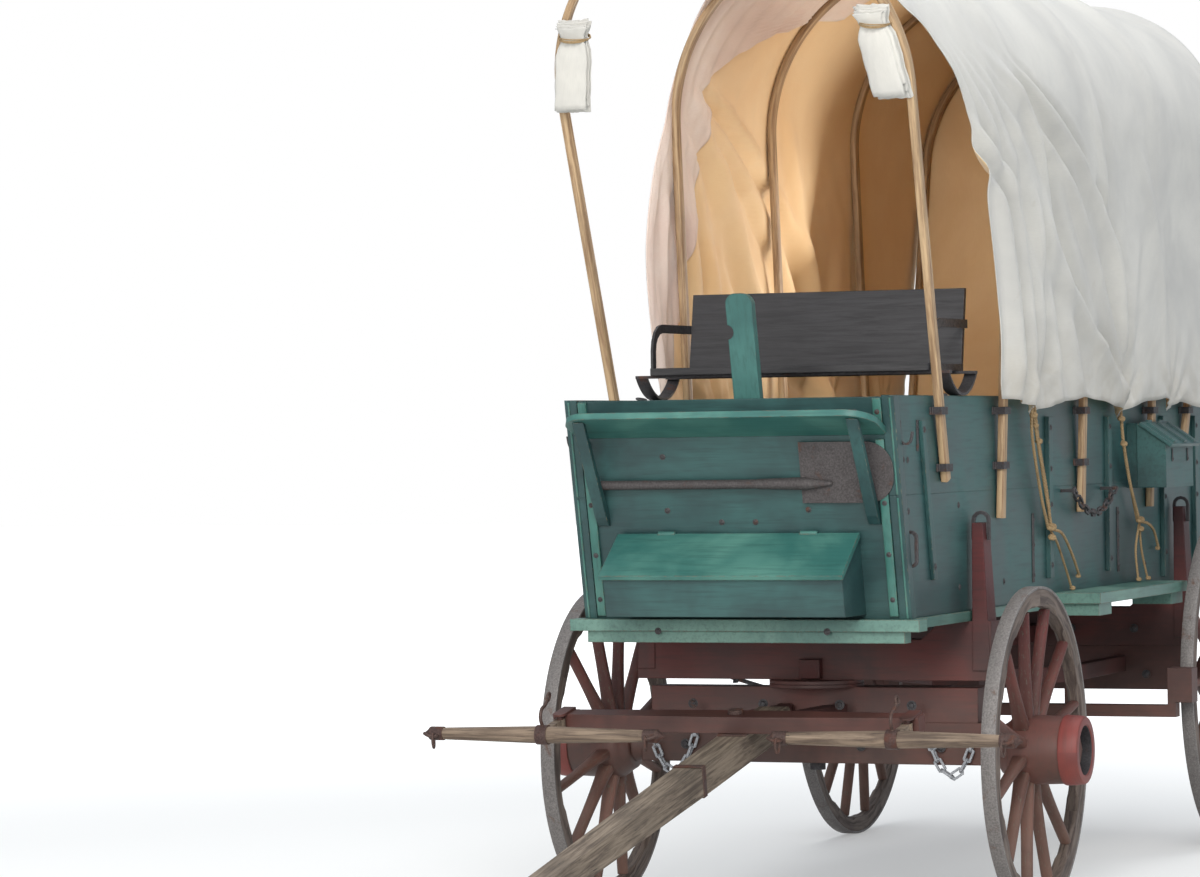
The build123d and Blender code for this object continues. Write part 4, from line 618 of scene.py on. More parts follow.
def unit(way: Place) -> Array:
    """Scale a way, or each row of ways, to length one."""
    way = np.asarray(way, float)
    return way / np.linalg.norm(way, axis=-1, keepdims=True)


def circle(count: int) -> Array:
    """Give angles evenly round a turn."""
    return np.linspace(0, TAU, count, endpoint=False)


def ring_section(count: int) -> Array:
    """Give points evenly on a circle of radius one."""
    return np.stack([np.cos(circle(count)), np.sin(circle(count))], axis=1)


def board_section(width: float, height: float, edge: float) -> Array:
    """Round a rectangle's corners: each is a quarter circle of the edge's radius.

    Args:
        width: First measure.
        height: Second measure.
        edge: Radius of the corners.

    Returns:
        Points round the section.
    """
    turn = np.linspace(0, math.pi / 2, 3)
    return np.concatenate([
        np.stack([side * (width / 2 - edge) + edge * np.cos(turn + index * math.pi / 2),
                  top * (height / 2 - edge) + edge * np.sin(turn + index * math.pi / 2)], axis=1)
        for index, (side, top) in enumerate(((1, 1), (-1, 1), (-1, -1), (1, -1)))])


def run_along(path: Array) -> Array:
    """Give the length of a path up to each of its points."""
    return np.append(0, np.cumsum(np.linalg.norm(np.diff(path, axis=0), axis=1)))


def carried(path: Array, section: Array, up: Place, scale: Number = 1.0,
            twist: Number = 0.0) -> Array:
    """Carry a section along a path, turned into the plane across the path at each point.

    Args:
        path: Points of the path.
        section: Points of the section: its first measure points along the path's way crossed
            with up, its second along the way left.
        up: Way that the section's second measure leans to.
        scale: Factor on the section at each point of the path.
        twist: Turn of the section at each point, in radians.

    Returns:
        Rows of points, one row for each point of the path.
    """
    ahead = unit(np.gradient(path, axis=0))
    side = unit(np.cross(ahead, np.broadcast_to(up, ahead.shape)))
    top = np.cross(side, ahead)
    size, turn = (np.broadcast_to(given, len(path))[:, None, None] for given in (scale, twist))
    one, two = section[:, :1] * size, section[:, 1:] * size
    return (path[:, None] + (one * np.cos(turn) - two * np.sin(turn)) * side[:, None]
            + (one * np.sin(turn) + two * np.cos(turn)) * top[:, None])


def smooth_route(knots: Sequence | Array, count: int) -> Array:
    """Run a Catmull-Rom curve through the knots.

    Between two knots the point is the cubic whose end slopes are half the difference of the knots
    on either side.

    Args:
        knots: Points that the curve goes through.
        count: Points that it is given in.

    Returns:
        Points on the curve.
    """
    knots = np.asarray(knots, float)
    padded = np.concatenate([[2 * knots[0] - knots[1]], knots, [2 * knots[-1] - knots[-2]]])
    where = np.linspace(0, len(knots) - 1, count)
    start = np.minimum(where.astype(int), len(knots) - 2)
    t = (where - start)[:, None]
    p0, p1, p2, p3 = (padded[start + k] for k in range(4))
    return 0.5 * (2 * p1 + (p2 - p0) * t + (2 * p0 - 5 * p1 + 4 * p2 - p3) * t ** 2
                  + (3 * p1 - p0 - 3 * p2 + p3) * t ** 3)


def spun(place: Place, way: Place, profile: Sequence, sides: int = 12) -> Array:
    """Spin a profile about a line.

    Args:
        place: Point on the line that the profile starts from.
        way: Direction of the line.
        profile: Pairs of place along the line and radius.
        sides: Number of columns.

    Returns:
        Rows of points, one row for each pair.
    """
    way = unit(way)
    one = unit(np.cross(way, (1.0, 0.0, 0.0) if abs(way[0]) < 0.8 else (0.0, 0.0, 1.0)))
    round_way = ring_section(sides) @ np.stack([one, np.cross(way, one)])
    along, radius = np.array(profile).T[:, :, None, None]
    return np.asarray(place, float) + along * way + radius * round_way


def dome(place: Place, way: Place, radius: float) -> Array:
    """Make a bolt's round head on its washer: two steps and a low dome."""
    return spun(place, way, ((-0.001, radius * 1.5), (0.0015, radius * 1.5), (0.0016, radius),
                             (radius * 0.35, radius * 0.92), (radius * 0.6, radius * 0.6)), 10)


def ferrule(place: Place, radius: float, width: float, thick: float = 0.003) -> Array:
    """Make a band round a bar that lies across the wagon: a rectangle spun about its line.

    Args:
        place: Middle of the band.
        radius: Radius inside.
        width: Width along the bar.
        thick: Thickness of the band.

    Returns:
        Rows of points.
    """
    half, outer = width / 2, radius + thick
    return spun(place, (0, 1, 0), ((-half, radius), (-half, outer), (half, outer), (half, radius),
                                   (-half, radius)), 24)


def rod(knots: Sequence, radius: float, lay: float = 0.0, step: float = 0.006) -> Array:
    """Run a round rod, or a rope whose three lobes turn once in each lay, through its knots.

    Args:
        knots: Points of the middle line.
        radius: Radius of the rod.
        lay: Length of one turn of the strands, or nothing for a plain rod.
        step: Distance between rows.

    Returns:
        Rows of points.
    """
    knots = np.asarray(knots, float)
    path = smooth_route(knots, max(8, int(run_along(knots)[-1] / step)))
    flat = np.linalg.svd(path - path.mean(axis=0))[2][-1]
    if not lay:
        return carried(path, radius * ring_section(8), flat)
    lobes = radius * (1 + 0.16 * np.cos(3 * circle(12)))[:, None]
    return carried(path, lobes * ring_section(12), flat, twist=run_along(path) * TAU / lay)


def loop(centre: Place, way: Place, long: Place, size: tuple[float, float], radius: float) -> Array:
    """Close a rod into an oval ring.

    Args:
        centre: Middle of the ring.
        way: Line that the ring goes round.
        long: Way of the first measure.
        size: Half length and half width of the oval.
        radius: Radius of the rod.

    Returns:
        Rows of points, the last row on the first.
    """
    way = unit(way)
    first = unit(np.asarray(long, float) - np.dot(long, way) * way)
    turn = np.linspace(-TAU / 20, TAU, 22)[:, None]
    path = centre + size[0] * np.cos(turn) * first + size[1] * np.sin(turn) * np.cross(way, first)
    rows = carried(path, radius * ring_section(8), way)[1:-1]
    return np.concatenate([rows, rows[:1]])


def strip(start: Place, end: Place, width: float, thick: float, up: Place) -> Array:
    """Lay a flat bar between two points, its thickness measured towards up."""
    path = np.array(start) + (np.array(end, float) - start) * np.linspace(0, 1, 4)[:, None]
    return carried(path, board_section(width, thick, 0.0015), up)


def mirrored(shapes: list[Array]) -> list[Array]:
    """Put shapes on the other side of the wagon."""
    return [shape * np.array([1.0, -1.0, 1.0]) for shape in shapes]


def lowered(shapes: list[Array]) -> list[Array]:
    """Turn shapes drawn on a level tongue down about the tongue's pin.

    Args:
        shapes: Shapes on the level tongue.

    Returns:
        The shapes as the tongue lies.
    """
    pivot = np.array([at(PIVOT[0]), 0.0, PIVOT[1]])
    cosine, sine = math.cos(DROP), math.sin(DROP)
    turn = np.array([[cosine, 0.0, -sine], [0.0, 1.0, 0.0], [sine, 0.0, cosine]])
    return [(shape - pivot) @ turn + pivot for shape in shapes]


def ripple(x: Array, y: Array, seed: int, waves: int = 7, coarse: float = 1.0,
           fine: float = 6.0) -> Array:
    """Give soft unevenness between -1 and 1.

    Args:
        x: First measure.
        y: Second measure.
        seed: Seed of the draw of ways and phases.
        waves: Number of waves that are summed.
        coarse: Turns in a metre of the longest wave.
        fine: Turns in a metre of the shortest wave.

    Returns:
        The mean of sine waves, each of its own length, way and phase.
    """
    draw = np.random.default_rng(seed)
    total = 0.0
    for turns in np.geomspace(coarse, fine, waves):
        way, phase = draw.uniform(0, TAU), draw.uniform(0, TAU)
        total = total + np.sin(turns * (x * math.cos(way) + y * math.sin(way)) * TAU + phase)
    return total / waves


def bell(away: Number, width: float) -> Number:
    """Give a bell curve: e to the power of minus the square of away over width."""
    return np.exp(-(away / width) ** 2)


@dataclass
class Wheel:
    """A dished wooden wheel: turned hub, shaved spokes, sawn felloes and a shrunk iron tyre."""

    end: str
    side: str
    finishes: Finishes
    spokes: int
    hub_out: float = 0.178
    hub_in: float = 0.112
    hub_radius: float = 0.118
    bore: float = 0.037
    dish: float = 0.026
    felloe_width: float = 0.046
    felloe_depth: float = 0.058
    tyre_width: float = 0.050
    tyre_thick: float = 0.010
    # Across and through a spoke, at the hub and at the felloe
    spoke_root: tuple[float, float] = (0.056, 0.037)
    spoke_tip: tuple[float, float] = (0.040, 0.027)
    # How deep a spoke stands in the hub, and how much slimmer its waist is
    spoke_foot: float = 0.012
    waist: float = 0.10
    # Joint between felloes, their outer edge's bevel, chamfer at a spoke and how much more between
    joint: float = 0.0006
    bevel: float = 0.0015
    chamfer: tuple[float, float] = (0.0025, 0.0105)
    # Wear and dents of the tyre's tread
    tread_wear: float = 0.0004
    dent: float = 0.0006

    def __post_init__(self) -> None:
        """Read the wheel's centre and radius from the frame."""
        self.name = f"wheel_{self.end}_{self.side}"
        low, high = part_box(f"{self.name}_tyre")
        self.centre = np.array((low + high) / 2)
        self.radius = (high.z - low.z) / 2
        self.hand = 1.0 if self.side == "left" else -1.0
        self.rim_out = self.radius - self.tyre_thick - 0.0003
        self.rim_in = self.rim_out - self.felloe_depth

    def about(self, out: Number, turn: Number, y: Number, aside: Number = 0.0) -> Array:
        """Place points about the axle.

        Args:
            out: Way out along a spoke.
            turn: Angle of the spoke from upright.
            y: Way along the axle, mirrored on the right-hand side.
            aside: Way across the spoke in the wheel's plane.

        Returns:
            The points.
        """
        x = self.centre[0] + out * np.sin(turn) + aside * np.cos(turn)
        z = self.centre[2] + out * np.cos(turn) - aside * np.sin(turn)
        return joined(x, self.centre[1] + self.hand * y, z)

    def hub(self) -> Piece:
        """Turn the hub: neck, barrel, outer band and the recess round the nut.

        Returns:
            The piece.
        """
        outline = np.array([
            (-self.hub_in, self.bore), (-self.hub_in, 0.080), (-self.hub_in + 0.003, 0.0845),
            (-0.094, 0.0935), (-0.080, 0.1030), (-0.077, 0.1075), (-0.060, 0.1170),
            (-0.040, self.hub_radius), (0.020, self.hub_radius + 0.0005), (0.074, 0.1165),
            (0.109, 0.1150), (0.1095, 0.1195), (0.114, 0.1208), (0.150, 0.1190),
            (self.hub_out - 0.006, 0.1160), (self.hub_out - 0.001, 0.1130), (self.hub_out, 0.1090),
            (self.hub_out, 0.0880), (self.hub_out - 0.004, 0.0842), (0.140, 0.0820),
            (0.118, 0.0785), (0.116, 0.0760), (0.116, self.bore), (-self.hub_in, self.bore)])
        rings = self.about(outline[:, 1:], math.pi / 2 - circle(72), outline[:, :1])
        places = spread(run_along(outline), np.linspace(0, TAU * 0.1, 73))[..., ::-1]
        form = Form()
        # First and last corner of each stretch of the outline, and the number of its finish
        for first, last, paint in ((0, 10, 0), (10, 14, 1), (14, 18, 1), (18, 23, 2)):
            form.grid(rings[first:last + 1], wrap=True, paint=paint, places=places[first:last + 1])
        coats = [self.finishes[coat] for coat in ("red_upright", "hub_red", "dark_iron")]
        return form.build(f"{self.name}_turned_hub", coats, smooth_deg=35.0)

    def spoke_set(self) -> Piece:
        """Shave the spokes: a squared foot in the hub, an oval blade and a slimmer neck.

        Each section is a superellipse whose power falls from 5 at the foot to 2.3 along the blade,
        and whose width and thickness shrink evenly to the felloe, with a slight waist.

        Returns:
            The piece.
        """
        foot = self.hub_radius - self.spoke_foot
        share = np.concatenate([[0.0], np.linspace(0.02, 0.97, 15), [1.0]])[:, None]
        reach = foot + share * (self.rim_in - 0.0002 - foot)
        waist = 1.0 - self.waist * np.sin(math.pi * share) ** 2
        wide, thick = ((root + (tip - root) * share) * waist / 2
                       for root, tip in zip(self.spoke_root, self.spoke_tip))
        way, power = ring_section(16), (2.3 + 2.7 * bell(share, 0.10))[..., None]
        y, x = np.moveaxis(np.sign(way) * np.abs(way) ** (2 / power), 2, 0)
        form = Form()
        for index in range(self.spokes):
            places = spread(reach[:, 0] + 3.1 * index, np.linspace(0, 0.15, 17) + 0.7 * index)
            form.grid(self.about(reach, TAU * (index + 0.5) / self.spokes,
                                 y * wide - self.dish * (1 - share), x * thick),
                      wrap=True, cap=True, places=places)
        return form.build(f"{self.name}_spokes", [self.finishes["spoke_red"]], smooth_deg=50.0)

    def rim(self) -> Piece:
        """Saw the felloes: one length for each two spokes, with a fine joint between lengths.

        The section is a rectangle whose inner corners are cut back by a chamfer, and the chamfer
        stops at each spoke: its depth is the height of a cosine wave between two spokes, cut off
        below zero.

        Returns:
            The piece.
        """
        lengths, joint = self.spokes // 2, self.joint / self.rim_out
        half, low, high, edge = self.felloe_width / 2, self.rim_in, self.rim_out, self.bevel
        form = Form()
        for index in range(lengths):
            turn = np.linspace(TAU * index / lengths + joint, TAU * (index + 1) / lengths - joint, 33)
            least, more = self.chamfer
            cut = least + more * np.clip(-np.cos(turn * self.spokes) * 1.6 + 0.55, 0, 1)
            section = [(-half, low + cut), (-half, high - edge), (-half + edge, high),
                       (half - edge, high), (half, high - edge), (half, low + cut),
                       (half - cut, low), (-half + cut, low)]
            y, radius = (np.stack([corner[axis] + 0 * turn for corner in section], axis=1)
                         for axis in (0, 1))
            form.grid(self.about(radius, turn[:, None], y), wrap=True, cap=True,
                      places=spread(turn * self.rim_out + index, np.linspace(0, 0.2, 9)))
        return form.build(f"{self.name}_felloe_lengths", [self.finishes["felloe_wood"]], smooth_deg=28.0)

    def hoop(self) -> Piece:
        """Shrink on the tyre: a flat hoop with rounded corners, its tread dented by the road.

        Returns:
            The piece.
        """
        turn = circle(160)[:, None]
        depth, width = board_section(self.tyre_thick, self.tyre_width, 0.0028).T
        dent = self.dent * ripple(np.cos(turn) * 2, np.sin(turn) * 2, seed=11) * (depth > 0)
        middle = self.radius - self.tyre_thick / 2 - self.tread_wear
        ring = self.about(middle + depth + dent, turn, width)
        form = Form().grid(np.concatenate([ring, ring[:1]]), wrap=True)
        return form.build(f"{self.name}_hoop", [self.finishes["tyre_iron"]], smooth_deg=35.0)

    def build(self) -> list[Piece]:
        """Make the wheel's four pieces and stand them for the model's three solids.

        Returns:
            The pieces.
        """
        return [fitted(self.hub(), self.name, "wheel_wood", f"{self.name}_hub"),
                fitted(self.spoke_set(), self.name, "wheel_wood"),
                fitted(self.rim(), self.name, "felloe_wood", f"{self.name}_felloes"),
                fitted(self.hoop(), self.name, "tyre_iron", f"{self.name}_tyre")]


@dataclass
class Bows:
    """Five steam-bent bows: straight legs, a half-round arch and square-sawn feet."""

    finishes: Finishes
    width: float = 0.045
    thick: float = 0.025
    foot_y: float = 0.577
    lean_deg: float = 19.0
    shaving: float = 0.02
    # Feet, crowns' centres and radii of the three upright bows and of the two leaning ones
    mid_foot: float = 1.345
    arch_height: float = 2.790
    arch_radius: float = 0.625
    end_foot: float = 1.488
    end_height: float = 2.808
    end_radius: float = 0.619
    # Station of the foot, lean forward as a share of the lean
    places: tuple = ((0.300, 1), (-0.330, 0), (-1.350, 0), (-2.330, 0), (-2.812, -1))

    def middle_line(self, lean: int) -> Array:
        """Draw a bow's middle line in its own plane.

        Args:
            lean: Way the bow leans: forward 1, upright 0, back -1.

        Returns:
            Side and rise of each point: leg, arc over the top, leg. The leg is the tangent from
            the foot to the arch's circle.
        """
        radius = self.end_radius if lean else self.arch_radius
        rise = self.end_height - self.end_foot if lean else self.arch_height - self.mid_foot
        centre = rise / math.cos(math.radians(self.lean_deg * lean))
        turn = math.atan2(-centre, self.foot_y) + math.acos(radius / math.hypot(self.foot_y, centre))
        arc = np.linspace(turn, math.pi - turn, 72)
        over = np.stack([radius * np.cos(arc), centre + radius * np.sin(arc)], axis=1)
        leg = np.linspace(0, 1, 24)[:, None]
        left = np.array([self.foot_y, 0.0]) * (1 - leg) + over[0] * leg
        return np.concatenate([left[:-1], over, left[::-1][1:] * np.array([-1, 1])])

    def station_at(self, index: int, height: Number) -> Number:
        """Give the station of a bow's middle at a height."""
        foot, lean = self.places[index]
        return foot + lean * (height - self.end_foot) * math.tan(math.radians(self.lean_deg))

    def plane(self, index: int, rise: Number, out: Number, y: Number) -> Array:
        """Place points by a bow's own plane.

        Args:
            index: Number of the bow.
            rise: Way up the plane from the bow's foot.
            out: Way forwards out of the plane.
            y: Way across the wagon.

        Returns:
            The points.
        """
        foot, lean = self.places[index]
        slope = math.radians(self.lean_deg * lean)
        x = at(foot) + rise * math.sin(slope) + out * math.cos(slope)
        z = (self.end_foot if lean else self.mid_foot) + rise * math.cos(slope) - out * math.sin(slope)
        return joined(x, y, z)

    def build(self) -> list[Piece]:
        """Bend the five bows, shaved a little unevenly, and stand them for their solids.

        Returns:
            The pieces.
        """
        made = []
        for index, (_, lean) in enumerate(self.places):
            y, rise = self.middle_line(lean).T
            shave = 1.0 - self.shaving * (1 + ripple(y * 2, rise * 2, seed=40 + index))
            out = self.plane(index, 0, 1, 0) - self.plane(index, 0, 0, 0)
            section = board_section(self.width, self.thick, 0.0045)[:, ::-1]
            ring = carried(self.plane(index, rise, 0, y), section, out, shave)
            form = Form().grid(ring, wrap=True, cap=True)
            piece = form.build(f"bow_{index + 1}_bent_ash", [self.finishes["ash"]], smooth_deg=50.0)
            made.append(fitted(piece, "wagon", "ash", f"bow_{index + 1}"))
        return made


def flat_size(points: Array) -> tuple[float, float]:
    """Measure a cloth's longest run along its rows and its longest run across them.

    Args:
        points: Grid of the cloth.

    Returns:
        Both runs, with hems.
    """
    along = np.linalg.norm(np.diff(points, axis=0), axis=2).sum(axis=0).max()
    across = np.linalg.norm(np.diff(points, axis=1), axis=2).sum(axis=1).max()
    return round(float(along) + 0.05, 2), round(float(across) + 0.05, 2)


def cut_area(points: Array) -> float:
    """Measure a cloth's cut area: the sum of all cells, with a twentieth for hems and laps.

    Args:
        points: Grid of the cloth.

    Returns:
        The area in square metres.
    """
    one = points[1:, :-1] - points[:-1, :-1]
    two = points[:-1, 1:] - points[:-1, :-1]
    return round(float(np.linalg.norm(np.cross(one, two), axis=2).sum()) * 1.05, 2)


@dataclass
class Cover:
    """The canvas over the bows: taut between the bows behind, slack and folded at the mouth."""

    finishes: Finishes
    bows: Bows
    columns: int = 216
    rows: int = 192
    skin: float = 0.0022
    rear_behind: float = 0.0455
    # Ridge over a bow, sink between bows, and how much more of it behind the first bow
    ridge: float = 0.0022
    sink: float = 0.026
    front_sink: float = 0.010
    # Pleats behind the mouth: depth, width at the arch, how much wider at the hem
    pleat: float = 0.034
    pleat_width: float = 0.10
    pleat_spread: float = 0.11
    # Gathers at a tie: depth, number round a turn
    gather: float = 0.013
    gathers: int = 13
    # Long creases and small ones: depth at the rear, how much more at the mouth
    crease: tuple[float, float] = (0.004, 0.010)
    crinkle: tuple[float, float] = (0.0004, 0.0012)
    # Waves of the hem: between the ties, and small ones
    hem_swing: float = 0.016
    hem_flutter: float = 0.003
    # Cloth of the turned band: gap under the cover, depth of its waves
    band_gap: float = 0.0035
    band_wave: float = 0.012
    # Edge of the mouth from the right hem over the top to the left hem: side, height, station
    mouth: tuple = (
        (-0.65, 1.752, -0.15), (-0.65, 2.05, -0.09), (-0.65, 2.26, -0.06), (-0.65, 2.38, -0.07),
        (-0.65, 2.53, -0.12), (-0.65, 2.67, -0.18), (-0.65, 2.82, -0.27), (-0.63, 2.93, -0.31),
        (-0.59, 3.06, -0.32), (-0.54, 3.14, -0.30), (-0.47, 3.23, -0.24), (-0.25, 3.38, 0.0),
        (0.0, 3.43, 0.31), (0.25, 3.38, 0.60), (0.42, 3.27, 0.80), (0.50, 3.19, 0.84),
        (0.56, 3.09, 0.68), (0.61, 2.965, 0.43), (0.65, 2.82, 0.23), (0.65, 2.65, 0.07),
        (0.65, 2.46, -0.02), (0.65, 2.26, -0.085), (0.65, 2.05, -0.13), (0.65, 1.752, -0.185))
    # Inner edge of the band that is turned back inside, in the same way
    flap_line: tuple = (
        (-0.65, 1.752, -0.26), (-0.65, 2.05, -0.36), (-0.65, 2.37, -0.49), (-0.65, 2.59, -0.59),
        (-0.65, 2.82, -0.67), (-0.64, 2.87, -0.65), (-0.63, 2.92, -0.57), (-0.58, 3.07, -0.78),
        (-0.53, 3.16, -1.01), (-0.49, 3.21, -1.27), (-0.41, 3.29, -1.60), (-0.20, 3.40, -1.50),
        (0.10, 3.42, -0.90), (0.42, 3.27, 0.10))
    # Ties along the left hem: station, drop of the hem, pull towards the box
    ties: tuple = ((-0.63, 0.040, 0.034), (-1.80, 0.052, 0.036), (-2.50, 0.046, 0.020),
                   (-2.98, 0.020, 0.020))
    # Long folds: width, depth, then station and height of points up the fold
    folds: tuple = (
        (0.055, 0.030, ((-0.52, 1.74), (-0.44, 2.18), (-0.28, 2.50), (0.12, 2.74))),
        (0.055, 0.026, ((-0.66, 1.74), (-0.66, 2.18), (-0.56, 2.55), (-0.30, 2.78))),
        (0.075, 0.044, ((-1.74, 1.80), (-1.10, 2.13), (-0.93, 2.28), (-0.60, 2.70), (-0.15, 3.02))),
        (0.055, 0.028, ((-1.80, 1.79), (-1.50, 2.12), (-1.27, 2.38), (-0.86, 2.66), (-0.50, 2.86))),
        (0.060, 0.034, ((-1.81, 1.79), (-1.72, 2.10), (-1.60, 2.35), (-1.30, 2.58), (-0.80, 2.82),
                        (-0.20, 3.04))),
        (0.050, 0.018, ((-1.83, 1.90), (-1.66, 2.29), (-1.52, 2.70), (-1.42, 2.95))),
        (0.045, 0.024, ((-0.36, 1.80), (-0.30, 2.10), (-0.17, 2.42), (0.16, 2.68), (0.45, 2.90))),
        (0.055, 0.020, ((-0.90, 1.76), (-0.84, 2.00), (-0.78, 2.30), (-0.62, 2.55))),
        (0.060, 0.016, ((-1.25, 1.76), (-1.10, 1.96), (-0.98, 2.14))),
        (0.055, 0.012, ((-2.47, 1.78), (-2.40, 2.10), (-2.30, 2.45), (-2.10, 2.75))),
        (0.060, 0.012, ((-1.90, 1.78), (-1.96, 2.05), (-2.05, 2.40))))

    def __post_init__(self) -> None:
        """Read the cover's hem, crown and half width from the frame."""
        low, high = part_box("cover")
        self.hem, self.spring = low.z, high.z - high.y
        self.radius = high.y - 0.008 + self.skin
        self.wall, self.arc = self.spring - self.hem, math.pi * self.radius

    def girth(self) -> Array:
        """Run once round the cover from the right hem over the top to the left hem.

        Returns:
            For each column its run, side and height, and the outward way there in side and height.
        """
        run = np.linspace(0, 2 * self.wall + self.arc, self.columns)
        turn = np.clip((run - self.wall) / self.radius, 0, math.pi)
        legs = np.minimum(np.minimum(run, run[-1] - run), self.wall)
        return np.stack([run, -self.radius * np.cos(turn),
                         self.hem + legs + self.radius * np.sin(turn), -np.cos(turn), np.sin(turn)])

    def edge_station(self, knots: tuple, run: Array) -> Array:
        """Give the station of an edge at each place round the girth.

        Args:
            knots: Side, height and station of points on the edge.
            run: Places round the girth.

        Returns:
            The stations, on a smooth curve through the knots.
        """
        side, height, station = np.array(knots).T
        leg = np.where(side < 0, height - self.hem, 2 * self.wall + self.arc + self.hem - height)
        over = self.wall + self.radius * np.arctan2(height - self.spring, -side)
        where = np.where(height > self.spring, over, leg)
        line = smooth_route(np.stack([where, station], axis=1), 400)
        return np.interp(run, line[:, 0], line[:, 1])

    def sag(self, station: Array, height: Array, arch: Array) -> Array:
        """Let the cloth sink between the bows: 4 t (1 - t) to the power 0.7, deepest in front.

        Args:
            station: Station of each point.
            height: Height of each point.
            arch: How far the point is on the arch, 0 to 1.

        Returns:
            Outward relief.
        """
        lines = [self.bows.station_at(index, height) for index in range(len(self.bows.places))]
        relief = sum(self.ridge * bell(station - line, 0.022) for line in lines)
        for index, (ahead, behind) in enumerate(zip(lines, lines[1:])):
            share = np.clip((station - behind) / np.maximum(ahead - behind, 0.05), 0, 1)
            deep = self.sink + self.front_sink * (index == 0)
            relief = relief - deep * (4 * share * (1 - share)) ** 0.7 * (0.35 + 0.65 * arch)
        return relief

    def fold(self, station: Array, height: Array) -> Array:
        """Lay the long folds: a crest in front of each fold's line and a hollow behind it.

        With u the way from the line over the width, a fold's relief is its depth times u times
        exp(0.5 - u squared / 2), and it fades at both ends of the line.

        Args:
            station: Station of each point.
            height: Height of each point.

        Returns:
            Outward relief.
        """
        relief = np.zeros_like(station)
        for width, depth, knots in self.folds:
            line = smooth_route(knots, 80)
            line = line[np.argsort(line[:, 1])]
            u = (station - np.interp(height, line[:, 1], line[:, 0])) / width
            ends = np.clip((height - line[0, 1] + 0.06) / 0.12, 0, 1)
            ends = ends * np.clip((line[-1, 1] - height + 0.04) / 0.22, 0, 1)
            relief += depth * u * np.exp(0.5 - u * u / 2) * ends
        return relief

    def drape(self, station: Array, height: Array, mouth: Array) -> Array:
        """Hang loose pleats behind the mouth, fanning out towards the hem.

        Each pleat is a rounded ridge between sharp valleys: the absolute sine of pi times the way
        behind the mouth over the pleat's width, which grows from the arch to the hem. The pleats
        die away towards the rear, the arch and the ties.

        Args:
            station: Station of each point.
            height: Height of each point.
            mouth: Station of the mouth's edge for each column.

        Returns:
            Outward relief.
        """
        behind = np.maximum(mouth - station, 0)
        wide = self.pleat_width + self.pleat_spread * np.clip((2.9 - height) / 1.15, 0, 1)
        stray = 0.30 * ripple(station * 0.9, height * 0.7, seed=61, waves=6, coarse=0.6, fine=2.5)
        ridge = np.sqrt(np.sin(math.pi * (behind / wide + stray)) ** 2 + 0.003)
        uneven = 0.75 + 0.35 * ripple(station * 1.4, height * 0.3, seed=67, waves=6, coarse=0.6, fine=2.5)
        free = bell(behind, 1.15) * np.clip((3.0 - height) / 0.5, 0, 1) * (1 - np.exp(-behind / 0.05))
        for tie, _, _ in self.ties:
            free = free * (1 - bell(station - tie, 0.09) * bell(height - self.hem, 0.22))
        return self.pleat * ridge * uneven * free

    def rays(self, station: Array, height: Array, turn: int) -> tuple[Array, Array]:
        """Gather the cloth at each tie.

        Pleats run out from the tie like rays: the cosine of the angle about the tie times their
        number, dying away with distance; the hem there is drawn down and in by a bell curve.

        Args:
            station: Station of each point.
            height: Height of each point.
            turn: Turn of the rays.

        Returns:
            Outward relief and downward shift.
        """
        relief, drop = np.zeros_like(station), np.zeros_like(station)
        for index, (tie, down, inward) in enumerate(self.ties):
            ahead, up = station - tie, height - self.hem + 0.03
            away = np.hypot(ahead, up)
            pleat = np.cos(self.gathers * np.arctan2(up, ahead) + index + turn) * np.exp(-away / 0.20)
            relief += self.gather * pleat * (1 - np.exp(-away / 0.05))
            relief -= inward * bell(ahead, 0.06) * bell(up, 0.15)
            drop += down * np.exp(-np.abs(ahead / 0.05) ** 1.3) * bell(up, 0.22)
        return relief, drop

    def laid(self, station: Array, mouth: Array, girth: Array, inward: Number = 0.0) -> Array:
        """Lay cloth over the bows: the plain arch moved outwards by sag, folds, rays and creases.

        Args:
            station: Station of each point, one row for each step along the wagon.
            mouth: Station of the mouth's edge for each column.
            girth: Columns as girth() gives them.
            inward: How far inside the cover's own surface the cloth lies.

        Returns:
            The grid of points.
        """
        _, side, height, out_y, out_z = girth
        height, arch, left = np.broadcast_arrays(height, np.clip(out_z * 1.6, 0, 1), side > 0,
                                                 station)[:3]
        wall = np.clip((3.10 - height) / 0.30, 0, 1)
        edge, low = np.abs(station - mouth), bell(height - self.hem, 0.05)
        # The right side has the left's folds moved a little and fainter, and its gathers moved
        far_fold = 0.8 * self.fold(station + 0.05, height * 0.985 + 0.03)
        relief = self.sag(station, height, arch)
        relief += np.where(left, self.fold(station, height),
                           far_fold * np.clip(edge / 0.35 - 0.15, 0, 1)) * wall
        relief += self.drape(station, height, mouth) * np.where(left, 1.0, 0.5)
        near, far = self.rays(station, height, 0), self.rays(station + 0.08, height, 2)
        relief += np.where(left, near[0], far[0])
        drop = np.where(left, near[1], far[1])
        # The hem hangs in waves between the ties
        rise = self.hem_swing * np.cos((station + 0.05) * 5.4) * low
        rise = rise + self.hem_flutter * low * np.cos(station * 21)
        flat_side, slack = np.where(left, 1.0, -1.0) * height, bell(edge, 0.9)
        long_crease = ripple(station * 1.6, flat_side * 0.45, seed=5, waves=9, coarse=0.5, fine=4.0)
        small = ripple(station * 1.3, flat_side * 0.6, seed=9, waves=9, coarse=4.0, fine=14.0)
        for crease, (rear, more) in ((long_crease, self.crease), (small, self.crinkle)):
            relief += crease * (rear + more * slack)
        # A turned edge at the mouth with its seam, and a flutter up the wall there
        relief += 0.004 * bell(edge, 0.012) - 0.003 * bell(edge - 0.045, 0.01)
        relief += 0.006 * np.sin(height * 9 + 2 * np.sin(height * 4)) * np.exp(-edge / 0.12) * wall
